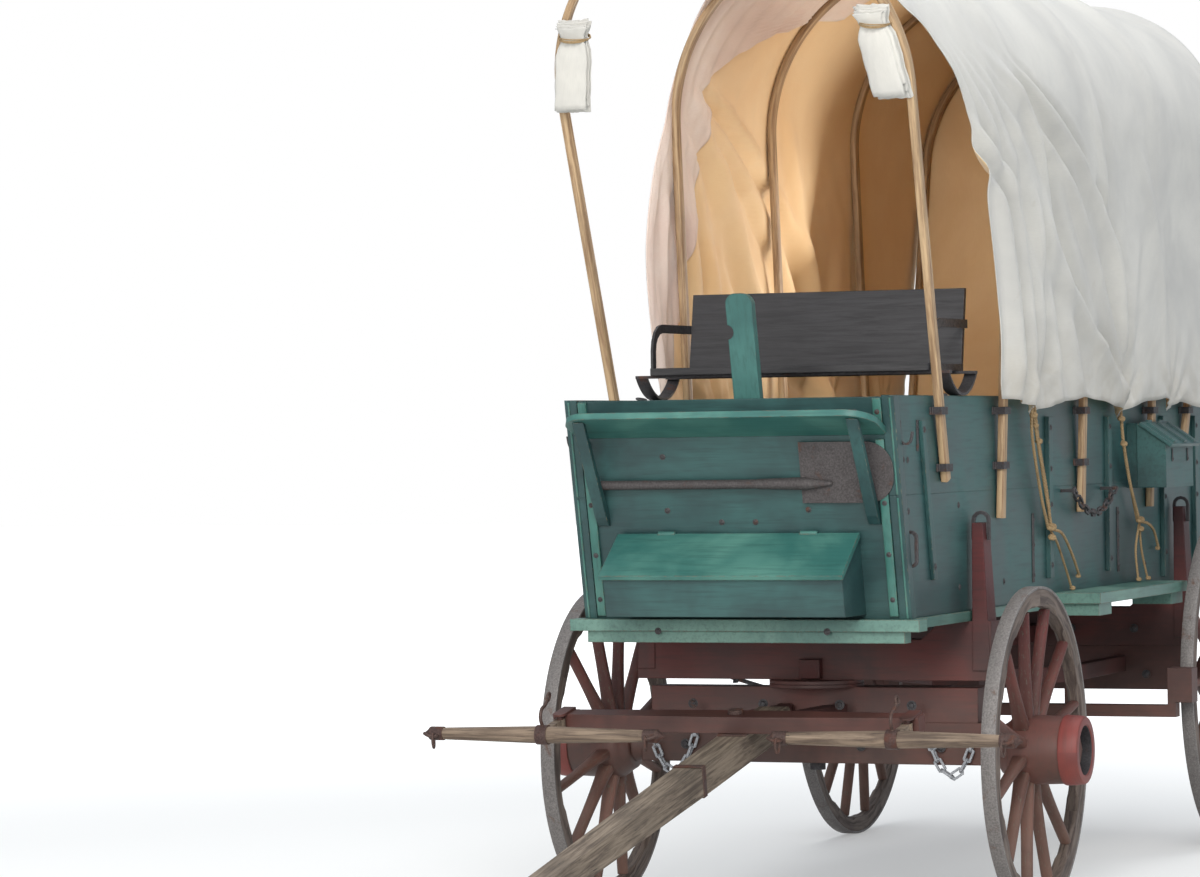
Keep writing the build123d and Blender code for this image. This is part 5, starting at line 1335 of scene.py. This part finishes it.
        # A bow presses every hollow flat where the cloth lies on it
        for index in range(len(self.bows.places)):
            press = 1.12 * bell(station - self.bows.station_at(index, height), 0.095)
            relief = np.where(relief < 0, relief * (1 - np.clip(press, 0, 1)), relief)
        relief = relief - inward
        return joined(at(station), side + out_y * relief, height + out_z * relief + rise - drop)

    def surface(self) -> Array:
        """Work out the whole cloth, each row a share of the way from the mouth to the rear edge.

        Returns:
            The grid of points.
        """
        girth = self.girth()
        mouth = self.edge_station(self.mouth, girth[0])
        rear = self.bows.station_at(4, girth[2]) - self.rear_behind
        share = (np.linspace(0, 1, self.rows) ** 1.08)[:, None]
        return self.laid(mouth + (rear - mouth) * share, mouth, girth)

    def flap(self) -> Array:
        """Turn a band of cloth back inside along the right side of the mouth.

        Its depth under the cover is a sum of sines down the wall, flattened where a bow presses it.

        Returns:
            The grid of points.
        """
        girth = self.girth()[:, self.girth()[1] < 0.40]
        run, height = girth[0], girth[2]
        mouth = self.edge_station(self.mouth, run)
        inner = self.edge_station(self.flap_line, run)
        inner = inner + 0.012 * np.sin(run * 31) + 0.010 * np.sin(run * 13 + 1)
        station = mouth + 0.002 + (inner - mouth) * np.linspace(0, 1, 60)[:, None]
        wave = 0.5 + 0.3 * np.sin(station * 46 + height * 5) + 0.2 * np.sin(station * 85 + 2)
        for index in range(1, 4):
            wave = wave * (1 - 0.9 * bell(station - self.bows.station_at(index, height), 0.045))
        # The band leaves the cover over its first eighth
        start = np.clip(np.linspace(0, 8, 60), 0, 1)[:, None]
        under = self.skin - 0.001 + (self.band_gap + self.band_wave * wave) * start
        return self.laid(station, mouth, girth, under)

    def build(self) -> list[Piece]:
        """Sew the cover and the band that is turned back inside it.

        Returns:
            The pieces.
        """
        points, band = self.surface(), self.flap()
        made = []
        # The cover's inside wears painted light: a bright tan for daylight shining through the cloth.
        for name, grid, coats in (("cover_canvas", points, ("canvas", "canvas_inside")),
                                  ("cover_turned_band", band, ("canvas_flap",))):
            piece = sewn(name, grid, [self.finishes[coat] for coat in coats], self.skin)
            made.append(fitted(piece, "wagon", "canvas"))
        flat_size(points)
        cut_area(points)
        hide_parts("cover")
        return made


@dataclass
class RearCurtain:
    """The flat canvas that closes the cover behind the last bow."""

    finishes: Finishes
    bows: Bows
    edge_in: float = 0.026
    behind: float = 0.0305
    skin: float = 0.002
    # Depth of its folds, how far its foot hangs out, and its unevenness
    fold: float = 0.006
    hang: float = 0.006
    uneven: float = 0.004

    def build(self) -> list[Piece]:
        """Hang the curtain: soft upright folds that deepen towards the foot.

        Each row is a rise in the plane of the last bow, each column a share of the width there;
        the relief is a sum of sines across the width, growing from the crown to the foot.

        Returns:
            The pieces.
        """
        bows, lean = self.bows, math.radians(self.bows.lean_deg)
        radius = bows.end_radius + bows.thick / 2
        centre = (bows.end_height - bows.end_foot) / math.cos(lean)
        foot = (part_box("rear_curtain")[0].z - bows.end_foot) / math.cos(lean)
        share, across = np.linspace(0, 1, 90)[:, None], np.linspace(-1, 1, 120)
        rise = foot + (centre + radius - 0.001 - foot) * np.sin(share * math.pi / 2) ** 0.9
        half = np.where(rise < centre, radius - self.edge_in * (centre - rise) / (centre - foot),
                        np.sqrt(np.clip(radius ** 2 - (rise - centre) ** 2, 1e-8, None)))
        y, slack = half * across, (1 - share) ** 0.8
        wave = np.sin(y * 24 + 1.4 * np.sin(rise * 2.2)) + 0.5 * np.sin(y * 53 + 2)
        depth = (self.behind + self.fold * wave * slack * (1 - across ** 6) + self.hang * slack
                 + self.uneven * ripple(y, rise, seed=21))
        points = bows.plane(4, rise, -depth, y)
        # The curtain's inside wears the same painted light: a bright tan for daylight shining through the
        # cloth.
        coats = [self.finishes["canvas"], self.finishes["canvas_inside"]]
        piece = sewn("rear_curtain_canvas", points[:, ::-1], coats, self.skin)
        fitted(piece, "wagon", "canvas", "rear_curtain")
        cut_area(points)
        return [piece]


@dataclass
class TiedBundles:
    """The front curtain's two ends, folded in layers and tied on the legs of the first bow."""

    finishes: Finishes
    bows: Bows
    width: float = 0.112
    gap: float = 0.0068
    skin: float = 0.0016
    tie_rise: float = 0.088
    middle_y: float = 0.545
    splay: float = 0.16
    # Crumples out of the cloth's plane and up it, its bulge, and how the tie pinches it
    crumple: tuple[float, float] = (0.003, 0.006)
    bulge: float = 0.006
    pinch: float = 0.30
    # Sideways shift from layer to layer, and along a layer
    shift: tuple[float, float] = (0.007, 0.004)
    # Height of each layer's start and end, from the bundle's middle
    passes: tuple = ((0.150, -0.165), (-0.165, 0.140), (0.140, -0.140), (-0.140, 0.132),
                     (0.132, -0.112), (-0.112, 0.126), (0.126, -0.152))

    def layer_path(self) -> Array:
        """Fold the strip to and fro: straight runs joined by half circles, as out and rise.

        Returns:
            Points of the strip's middle line.
        """
        path = []
        half, turn = self.gap / 2, np.linspace(-math.pi / 2, math.pi / 2, 6)[1:-1]
        for index, (start, end) in enumerate(self.passes):
            out, way = index * self.gap, -1 if end < start else 1
            path.append(np.stack([np.full(14, out), np.linspace(start, end, 14)], axis=1))
            path.append(np.stack([out + half + half * np.sin(turn), end + way * half * np.cos(turn)],
                                 axis=1))
        return np.concatenate(path[:-1])

    def cloth(self, side: str, hand: float, rise: float) -> Piece:
        """Fold one bundle, crumpled a little, bowed across its width and pinched at its tie.

        Args:
            side: Side of the wagon.
            hand: 1 on the left, -1 on the right.
            rise: Way up the bow's plane to the bundle's middle.

        Returns:
            The piece.
        """
        path, across = self.layer_path(), np.linspace(-1, 1, 18)
        out, up = path[:, :1], path[:, 1:]
        crumple = ripple(up * 9 + out * 90, across[None], seed=61 + int(hand), waves=6, coarse=0.6, fine=2.4)
        pinch = 1 - self.pinch * bell(up - self.tie_rise, 0.030)
        depth = (self.bows.width / 2 + 0.003 + out * pinch + self.crumple[0] * crumple
                 + self.bulge * (1 - across ** 2))
        up = up + self.crumple[1] * crumple
        y = hand * (self.middle_y + self.width / 2 * across * pinch - self.splay * up)
        y = y + self.shift[0] * np.sin(out * 520 + 2 * hand)
        y = y + self.shift[1] * ripple(up * 8, across[None], seed=71, waves=5, coarse=0.5, fine=2.0)
        piece = sewn(f"bundle_{side}_canvas", self.bows.plane(0, rise + up, depth, y),
                     [self.finishes["canvas"]], self.skin, offset=0.0)
        fitted(piece, "wagon", "canvas", "cover_ties")
        return piece

    def build(self) -> list[Piece]:
        """Tie one bundle on each leg with three turns of string.

        Returns:
            The pieces.
        """
        made = []
        lean = math.radians(self.bows.lean_deg)
        middle = sum(corner.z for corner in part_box("cover_ties")) / 2
        rise = (middle - 0.02 - self.bows.end_foot) / math.cos(lean)
        for hand, side in ((1.0, "left"), (-1.0, "right")):
            made.append(self.cloth(side, hand, rise))
            centre = self.bows.plane(0, rise + self.tie_rise, 0.027,
                                     hand * (self.middle_y - self.splay * self.tie_rise))
            rings = Form()
            for tip in (0.10, -0.12, 0.0):
                rings.grid(loop(centre, (math.sin(lean) + tip, 0.1, math.cos(lean)), (0, 1, 0),
                                (0.053, 0.054), 0.0024), wrap=True)
            string = rings.build(f"bundle_{side}_string", [self.finishes["rope"]], smooth_deg=60.0)
            made.append(fitted(string, "wagon", "rope"))
        return made


@dataclass
class Timbers:
    """The model's own boards, gear and irons, each dressed in its finish."""

    finishes: Finishes
    # Finish, then the nodes that wear it
    coats: tuple = (
        ("dark_floor", "floor"), ("seat_green", "line_post"), ("shovel_steel", "shovel"),
        ("chain_steel", "stay_chains"), ("grey_pole", "tongue"), ("rust_iron", "tongue_irons"),
        ("green_boards", "side_lower_left side_lower_right side_upper_left side_upper_right "
                         "side_toolbox side_toolbox_lid"),
        ("green_across", "front_board tailgate front_toolbox"),
        ("green_posts", "footboard_struts side_cleats"), ("seat_leather", "seat_board seat_back"),
        ("light_green", "footboard front_toolbox_lid"),
        ("light_green_steps", "floor_sills running_boards"),
        ("dark_iron", "bow_staples box_irons seat_springs kingpin"),
        ("red_across", "front_axle rear_axle sand_board front_bolster rear_bolster brake_beam "
                       "doubletree"),
        ("red_gear", "front_hounds reach rear_hounds"),
        ("grey_bar", "singletree_left singletree_right neck_yoke"))

    def build(self) -> list[Piece]:
        """Give each node the finish of its trade.

        Returns:
            The dressed nodes.
        """
        dressed = []
        for finish, names in self.coats:
            for node in (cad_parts[name] for name in names.split()):
                node.data.materials.clear()
                node.data.materials.append(self.finishes[finish])
                dressed.append(node)
        return dressed


@dataclass
class Trim:
    """Small pieces of one trade, gathered into one object for each body and finish."""

    finishes: Finishes

    def gather(self, name: str, body: str, coat: str, slot: str, closed: list[Array],
               rings: Sequence[Array] = ()) -> Piece:
        """Join shapes into one piece that rides on a body.

        Args:
            name: Name of the piece.
            body: Body that carries it.
            coat: Finish that it wears.
            slot: Slot that is passed on to fitted().
            closed: Shapes whose ends are closed by caps.
            rings: Shapes that close on themselves.

        Returns:
            The piece.
        """
        form = Form()
        for shape in closed:
            form.grid(shape, wrap=True, cap=True)
        for shape in rings:
            form.grid(shape, wrap=True)
        return fitted(form.build(name, [self.finishes[coat]], smooth_deg=38.0), body, slot)


@dataclass
class BoxTrim(Trim):
    """Bolts, corner strips, hasps and two loops on the box."""

    # Bolts on the sides: station, height, how far the face stands out from the boards
    side_bolts: tuple = (
        *((x, z, 0.018) for x in (-0.95, -1.75, -2.56, -3.06) for z in (1.16, 1.38, 1.51, 1.66)),
        *((x, z, 0.004) for x in (-0.76, -1.90) for z in (1.13, 1.24, 1.33)),
        (0.43, 1.20, 0.014), (0.53, 1.66, 0.014), (0.715, 1.56, 0.0), (0.67, 1.56, 0.0),
        (0.668, 1.39, 0.0), (0.70, 1.39, 0.0), (0.66, 1.10, 0.0), (0.12, 1.12, 0.0),
        (0.12, 1.40, 0.0), (-0.40, 1.12, 0.0), (-1.35, 1.12, 0.0), (-2.30, 1.12, 0.0))
    # Bolts through the front board: side, height
    front_bolts: tuple = ((0.44, 1.72), (0.25, 1.40), (0.25, 1.58), (0.06, 1.36), (0.47, 1.36))
    post_y: float = 0.520

    def front_face(self, height: float) -> float:
        """Give the X of the raked front board's face at a height."""
        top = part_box("front_board")[1]
        return top.x - RAKE * (top.z - height)

    def posts(self) -> list[Array]:
        """Lean the light strips on the corners: on the front board and the sides' front edges.

        Returns:
            The shapes.
        """
        shapes, face = [], BOX_HALF + 0.0035
        for ends in ((1.045, 1.63), (1.672, 1.765)):
            start, end = ((self.front_face(z) + 0.006, self.post_y, z) for z in ends)
            shapes.append(strip(start, end, 0.030, 0.011, (1.0, 0.0, -RAKE)))
        for ends in ((1.04, 1.44), (1.45, 1.768)):
            start, end = ((at(0.690 + RAKE * (z - 1.035)), face, z) for z in ends)
            shapes.append(strip(start, end, 0.026, 0.007, (0.0, 1.0, 0.0)))
        return shapes + mirrored(shapes)

    def bolts(self) -> list[Array]:
        """Set the bolt heads on both sides and on the front board.

        Returns:
            The shapes.
        """
        heads = [dome((at(x), BOX_HALF + out, z), (0, 1, 0), 0.0075) for x, z, out in self.side_bolts]
        heads += [dome((self.front_face(z), y, z), (1, 0, -RAKE), 0.007) for y, z in self.front_bolts]
        heads += [dome((self.front_face(z) + 0.0115, self.post_y, z), (1, 0, -RAKE), 0.006)
                  for z in (1.10, 1.25, 1.42, 1.58, 1.72)]
        return heads + mirrored(heads)

    def hasps(self) -> list[Array]:
        """Fold two small hasps over the side tool box's front.

        Returns:
            The shapes.
        """
        low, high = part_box("side_toolbox")
        shapes = []
        for share in (0.22, 0.78):
            x, y = low.x + share * (high.x - low.x), high.y + 0.002
            shapes.append(strip((x, y, high.z - 0.100), (x, y, high.z - 0.150), 0.016, 0.003,
                                (0.0, 1.0, 0.0)))
            shapes.append(dome((x, high.y + 0.003, high.z - 0.140), (0, 1, 0), 0.006))
        return shapes

    def build(self) -> list[Piece]:
        """Fit the box's trim.

        Returns:
            The pieces.
        """
        loops = [loop((at(0.24), 0.548 * side, BOX_TOP + 0.004), (0, 0.25, 1), (1, 0, 0),
                      (0.030, 0.014), 0.004) for side in (1, -1)]
        return [self.gather("corner_strips", "wagon", "light_green_posts", "light_green", self.posts()),
                self.gather("box_bolts", "wagon", "dark_iron", "dark_iron",
                            self.bolts() + self.hasps(), loops)]


@dataclass
class CoverRopes(Trim):
    """Ropes that draw the hem down to the box, with their knots."""

    # Radius, then knots as station, side, height
    lines: tuple = (
        (0.0060, ((-0.640, 0.612, 1.735), (-0.720, 0.604, 1.600), (-0.850, 0.596, 1.400),
                  (-0.885, 0.592, 1.290))),
        (0.0055, ((-0.622, 0.610, 1.730), (-0.690, 0.608, 1.610), (-0.800, 0.600, 1.450),
                  (-0.878, 0.600, 1.300))),
        (0.0055, ((-0.605, 0.612, 1.735), (-0.640, 0.604, 1.620), (-0.760, 0.597, 1.420),
                  (-0.872, 0.590, 1.295))),
        (0.0045, ((-0.890, 0.594, 1.285), (-0.990, 0.590, 1.235), (-1.120, 0.588, 1.120),
                  (-1.170, 0.590, 1.062))),
        (0.0050, ((-0.892, 0.600, 1.292), (-1.040, 0.594, 1.270), (-1.180, 0.590, 1.190),
                  (-1.290, 0.584, 1.110))),
        (0.0060, ((-1.795, 0.612, 1.725), (-1.850, 0.606, 1.600), (-1.960, 0.600, 1.440),
                  (-2.105, 0.596, 1.290))),
        (0.0050, ((-1.808, 0.608, 1.720), (-1.880, 0.600, 1.590), (-1.990, 0.594, 1.430),
                  (-2.100, 0.588, 1.290))),
        (0.0045, ((-2.110, 0.594, 1.285), (-2.150, 0.590, 1.180), (-2.200, 0.600, 1.062))),
        (0.0050, ((-2.110, 0.600, 1.290), (-2.220, 0.598, 1.280), (-2.330, 0.592, 1.250),
                  (-2.420, 0.586, 1.180))),
        (0.0045, ((-2.108, 0.592, 1.280), (-2.070, 0.588, 1.180), (-2.060, 0.600, 1.062))))
    # Knots: station, side, height, size
    knots: tuple = (
        (-0.630, 0.612, 1.706, 0.015), (-0.660, 0.610, 1.668, 0.012), (-0.712, 0.606, 1.612, 0.014),
        (-0.884, 0.598, 1.300, 0.019), (-0.890, 0.598, 1.262, 0.015), (-1.290, 0.580, 1.108, 0.010),
        (-1.170, 0.592, 1.068, 0.011), (-1.802, 0.612, 1.690, 0.015), (-1.856, 0.606, 1.594, 0.014),
        (-2.106, 0.598, 1.298, 0.018), (-2.112, 0.598, 1.262, 0.014), (-2.420, 0.582, 1.178, 0.010),
        (-2.200, 0.602, 1.068, 0.011), (-2.060, 0.602, 1.068, 0.011))
    # Turns of a knot: line it goes round, long way, and its measures as shares of the knot's size
    turns: tuple = (((0.3, 0.3, 1.0), (1, 0, 0), 1.0, 0.55, 0.42),
                    ((-0.6, 0.2, 1.0), (1, 0, 0.3), 0.8, 0.6, 0.40),
                    ((0.2, 1.0, 0.9), (1, 0, 0), 0.9, 0.4, 0.38))

    def build(self) -> list[Piece]:
        """Run the ropes on both sides, and tie each knot of three turns tipped apart.

        Returns:
            The pieces.
        """
        ropes = [rod([(at(x), y, z) for x, y, z in knots], radius, radius * 7, 0.0035)
                 for radius, knots in self.lines]
        rings = [loop((at(x), y, z), way, long, (size * one, size * two), size * thick)
                 for x, y, z, size in self.knots for way, long, one, two, thick in self.turns]
        return [self.gather("cover_ropes", "wagon", "rope", "rope", ropes + mirrored(ropes),
                            rings + mirrored(rings))]


@dataclass
class DraughtIrons(Trim):
    """Bands, clips, hooks and rings on the singletrees, the yoke and the tongue."""

    # Where the left singletree lies on the level tongue: station, side, height, half length
    single: tuple = (1.005, 0.612, 0.762, 0.408)
    # Yoke on the level tongue: station, height, half length
    yoke: tuple = (3.895, 0.765, 0.585)
    # Straps on the tongue: station, half depth there, width
    straps: tuple = ((1.26, 0.0500, 0.030), (3.50, 0.0350, 0.026))

    def singletree(self) -> tuple[list[Array], list[Array]]:
        """Forge the left singletree's irons: centre clip with hook and eye, end bands and hooks.

        Returns:
            Shapes with capped ends, and rings.
        """
        x, y, z, half = at(self.single[0]), *self.single[1:]
        solid = [rod(((x, y, z + 0.028), (x + 0.012, y, z + 0.060), (x - 0.004, y, z + 0.086),
                      (x - 0.034, y, z + 0.092), (x - 0.060, y, z + 0.104)), 0.006),
                 dome((x + 0.026, y + 0.012, z + 0.010), (1, 0, 0.3), 0.006)]
        rings = [ferrule((x, y, z), 0.0288, 0.040, 0.004),
                 loop((x - 0.070, y, z + 0.112), (0, 1, 0.2), (1, 0, 0), (0.014, 0.014), 0.0045)]
        for sign in (1, -1):
            tip = y + sign * half
            rings.append(ferrule((x, tip - sign * 0.024, z), 0.0202, 0.046))
            solid.append(spun((x, tip, z), (0, sign, 0), ((-0.004, 0.0232), (0.003, 0.022),
                                                          (0.012, 0.012), (0.026, 0.002))))
            solid.append(rod(((x + 0.018, tip - sign * 0.030, z), (x + 0.040, tip - sign * 0.034, z),
                              (x + 0.052, tip - sign * 0.014, z + 0.004),
                              (x + 0.040, tip + sign * 0.008, z + 0.010)), 0.0055))
            rings.append(loop((x + 0.046, tip - sign * 0.026, z - 0.014), (0.2, 1, 0), (0, 0, 1),
                              (0.024, 0.013), 0.0045))
        return lowered(solid), lowered(rings)

    def neck_yoke(self) -> tuple[list[Array], list[Array]]:
        """Forge the yoke's irons: top straps with bolts, bands, end rings and caps.

        Returns:
            Shapes with capped ends, and rings.
        """
        x, z, half = at(self.yoke[0]), *self.yoke[1:]
        top = z + 0.0415
        solid = [strip((x, start, top + 0.001), (x, start + 0.092, top + 0.001), 0.026, 0.004,
                       (0, 0, 1)) for start in (-0.118, 0.026)]
        solid += [dome((x, y, top + 0.003), (0, 0, 1), 0.007) for y in (-0.105, -0.05, 0.05, 0.105)]
        rings = [ferrule((x, y, z), 0.0408, 0.022) for y in (-0.124, 0.124)]
        for sign in (1, -1):
            tip = sign * half
            rings.append(ferrule((x, tip - sign * 0.030, z), 0.0242, 0.052))
            rings.append(ferrule((x, tip - sign * 0.150, z), 0.0272, 0.030))
            rings.append(loop((x, tip - sign * 0.045, z - 0.012), (0.15, 1, 0.1), (0, 0, 1),
                              (0.046, 0.036), 0.0055))
            solid.append(spun((x, tip, z), (0, sign, 0), ((-0.003, 0.027), (0.003, 0.024),
                                                          (0.008, 0.012)), 14))
        return lowered(solid), lowered(rings)

    def tongue(self) -> list[Array]:
        """Shrink two straps on the tongue, a bar on each face, and set the bolts of its root.

        Returns:
            The shapes.
        """
        shapes = [dome((at(station), 0.0, PIVOT[1] + 0.047), (0, 0, 1), 0.011)
                  for station in (0.62, 0.68)]
        for station, half, width in self.straps:
            for sign in (1, -1):
                for out, side in (((0, 0, sign), (0, 1, 0)), ((0, sign, 0), (0, 0, 1))):
                    middle = np.array((at(station), 0, PIVOT[1])) + half * np.array(out)
                    reach = half * np.array(side)
                    shapes.append(strip(middle - reach, middle + reach, width, 0.004, out))
        return lowered(shapes)

    def build(self) -> list[Piece]:
        """Forge the draught irons.

        Returns:
            The pieces.
        """
        solid, rings = self.singletree()
        return [self.gather("singletree_left_irons", "singletree_left", "rust_iron", "dark_iron",
                            solid, rings),
                self.gather("singletree_right_irons", "singletree_right", "rust_iron", "dark_iron",
                            mirrored(solid), mirrored(rings)),
                self.gather("neck_yoke_irons", "neck_yoke", "dark_iron", "dark_iron",
                            *self.neck_yoke()),
                self.gather("tongue_straps", "tongue", "rust_iron", "dark_iron", self.tongue())]


@dataclass
class GearBolts(Trim):
    """Bolt heads and nuts of the running gear."""

    # Cross timber, sides of its bolts, radius of a head
    front: tuple = (("sand_board", (0.14, 0.40), 0.012), ("front_axle", (0.18, 0.47), 0.012))
    wagon: tuple = (("rear_axle", (0.18, 0.47), 0.012), ("rear_bolster", (0.16, 0.42), 0.012),
                    ("floor_sills", (0.30,), 0.008))
    # Most that a cross timber is deep, since the box of a bolster takes in its stakes
    deepest: float = 0.14
    # Bolts on the reach, as shares of its length
    reach_bolts: tuple = (0.35, 0.5, 0.65)

    def across(self, timbers: tuple) -> list[Array]:
        """Set bolt heads on the front faces of cross timbers, at half their height.

        Args:
            timbers: Node, sides and radius for each cross timber.

        Returns:
            The shapes.
        """
        shapes = []
        for node, sides, radius in timbers:
            low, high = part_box(node)
            middle = (low.z + min(high.z, low.z + self.deepest)) / 2
            shapes += [dome((high.x, sign * y, middle), (1, 0, 0), radius)
                       for y in sides for sign in (1, -1)]
        return shapes

    def build(self) -> list[Piece]:
        """Set the gear's bolts on the two bodies that carry them.

        Returns:
            The pieces.
        """
        low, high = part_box("reach")
        reach = [dome((low.x + share * (high.x - low.x), 0.0, high.z), (0, 0, 1), 0.010)
                 for share in self.reach_bolts]
        return [self.gather("front_gear_bolts", "front_gear", "dark_iron", "dark_iron",
                            self.across(self.front)),
                self.gather("wagon_gear_bolts", "wagon", "dark_iron", "dark_iron",
                            self.across(self.wagon) + reach)]


@dataclass
class Studio:
    """A pale floor, soft light, and the camera as it was fitted to the photo."""

    # Camera: its place from the front axle, its way, its roll in radians, its lens in millimetres
    stand: tuple[float, float, float] = (14.5761, 5.1154, 1.6642)
    look: tuple[float, float, float] = (-0.926528, -0.376223, -0.001306)
    roll: float = -0.0141
    lens: float = 132.684
    # Half the floor's side, its glow at the wagon, and how far out the glow starts and is full
    floor_half: float = 60.0
    floor_glow: float = 0.30
    glow_start: float = 4.0
    glow_full: float = 13.0
    sky: Colour = (0.80, 0.86, 0.94)
    sky_light: float = 0.62
    # Lamps: name, place, aim, size, watts, colour
    lamps: tuple = (
        ("key", (11.0, 4.5, 8.0), (0.0, 0.0, 1.5), 5.0, 1020.0, (1.0, 0.98, 0.94)),
        ("mouth", (12.0, 0.5, 3.4), (-1.0, 0.0, 2.7), 4.0, 620.0, (1.0, 0.98, 0.95)),
        ("inside", (-1.9, 0.0, 2.2), (-0.4, 0.0, 3.0), 1.0, 11.0, (1.0, 0.96, 0.90)),
        ("fill", (4.0, 11.0, 5.0), (-1.0, 0.0, 1.4), 8.0, 260.0, (0.92, 0.96, 1.0)),
        ("top", (-2.0, 0.0, 11.0), (-1.5, 0.0, 1.0), 8.0, 600.0, (1.0, 1.0, 1.0)))

    def camera(self) -> Piece:
        """Set the camera: its place and aim from the front axle, and a slight roll.

        Returns:
            The camera.
        """
        ahead = unit(self.look)
        right = unit((ahead[1], -ahead[0], 0.0))
        up = np.cross(right, ahead)
        cosine, sine = math.cos(self.roll), math.sin(self.roll)
        turn = np.eye(4)
        turn[:3, :3] = np.stack([cosine * right + sine * up, cosine * up - sine * right, -ahead], axis=1)
        turn[:3, 3] = (at(self.stand[0]), *self.stand[1:])
        eye = bpy.data.cameras.new("eye")
        eye.lens, eye.sensor_width, eye.clip_end = self.lens, 36.0, 400.0
        made = linked("eye", eye)
        made.matrix_world = Matrix(turn.tolist())
        bpy.context.scene.camera = made
        return made

    def hang(self) -> None:
        """Hang the soft square lamps; the one inside the cover isn't seen itself."""
        for name, place, aim, size, watts, colour in self.lamps:
            light = bpy.data.lights.new(name, "AREA")
            light.shape, light.size, light.energy, light.color = "SQUARE", size, watts, colour
            lamp = linked(name, light)
            lamp.rotation_mode, lamp.location = "QUATERNION", place
            lamp.rotation_quaternion = Vector(np.subtract(aim, place)).to_track_quat("-Z", "Y")
            lamp.visible_camera = name != "inside"

    def floor(self) -> Piece:
        """Lay a pale floor that glows white far out, where only the camera's rays see it.

        Returns:
            The floor.
        """
        bench = Bench("studio_floor")
        grit = bench.fade(bench.noise(60.0), 0.3, 0.7, 0.0, 0.08)
        bench.finish(bench.blend(grit, tint(206, 206, 204), tint(190, 190, 188)), 0.9)
        away = bench.node("VectorMath", {0: bench.place()}, operation="LENGTH").outputs["Value"]
        rays = bench.node("LightPath", {}).outputs
        seen = bench.sum("MAXIMUM", rays["Is Camera Ray"], rays["Is Glossy Ray"])
        seen = bench.sum("MAXIMUM", seen, rays["Is Transmission Ray"])
        bench.shade("Emission Color", (1.0, 1.0, 1.0, 1.0))
        glow = bench.fade(away, self.glow_start, self.glow_full, self.floor_glow, 1.0)
        bench.shade("Emission Strength", bench.sum("MULTIPLY", seen, glow))
        side = np.linspace(-self.floor_half, self.floor_half, 3)
        ground = Form().grid(joined(side[:, None], side, 0.0))
        made = ground.build("studio_floor", [bench.material], closed=False)
        return made

    def build(self) -> list[Piece]:
        """Lay the floor, hang the lamps, tint the world and set the camera.

        Returns:
            The floor and the camera.
        """
        world = bpy.data.worlds.new("studio")
        bpy.context.scene.world = world
        world.use_nodes = True
        tree = world.node_tree
        sky, back = tree.nodes["Background"], tree.nodes.new("ShaderNodeBackground")
        sky.inputs["Color"].default_value = (*self.sky, 1.0)
        sky.inputs["Strength"].default_value = self.sky_light
        back.inputs["Color"].default_value = (1.0, 1.0, 1.0, 1.0)
        path, mix = (tree.nodes.new("ShaderNode" + kind) for kind in ("LightPath", "MixShader"))
        for start, end in ((path.outputs["Is Camera Ray"], mix.inputs[0]),
                           (sky.outputs[0], mix.inputs[1]), (back.outputs[0], mix.inputs[2]),
                           (mix.outputs[0], tree.nodes["World Output"].inputs["Surface"])):
            tree.links.new(start, end)
        self.hang()
        bpy.context.scene.view_settings.view_transform = "Standard"
        return [self.floor(), self.camera()]


def main() -> None:
    """Build the wagon's pieces in order and report each one."""
    logging.basicConfig(level=logging.INFO, format="%(name)s %(message)s")
    finishes = mixed()
    bows = Bows(finishes)
    makers: list = [Timbers(finishes), bows]
    makers += [maker(finishes, bows) for maker in (Cover, RearCurtain, TiedBundles)]
    makers += [Wheel(end, side, finishes, spokes) for end, spokes in (("front", 12), ("rear", 14))
               for side in ("left", "right")]
    makers += [maker(finishes) for maker in (BoxTrim, CoverRopes, DraughtIrons, GearBolts)]
    for maker in (*makers, Studio()):
        made = maker.build()
        log.info("%s: %s", type(maker).__name__, ", ".join(piece.name for piece in made))


if __name__ == "__main__":
    main()
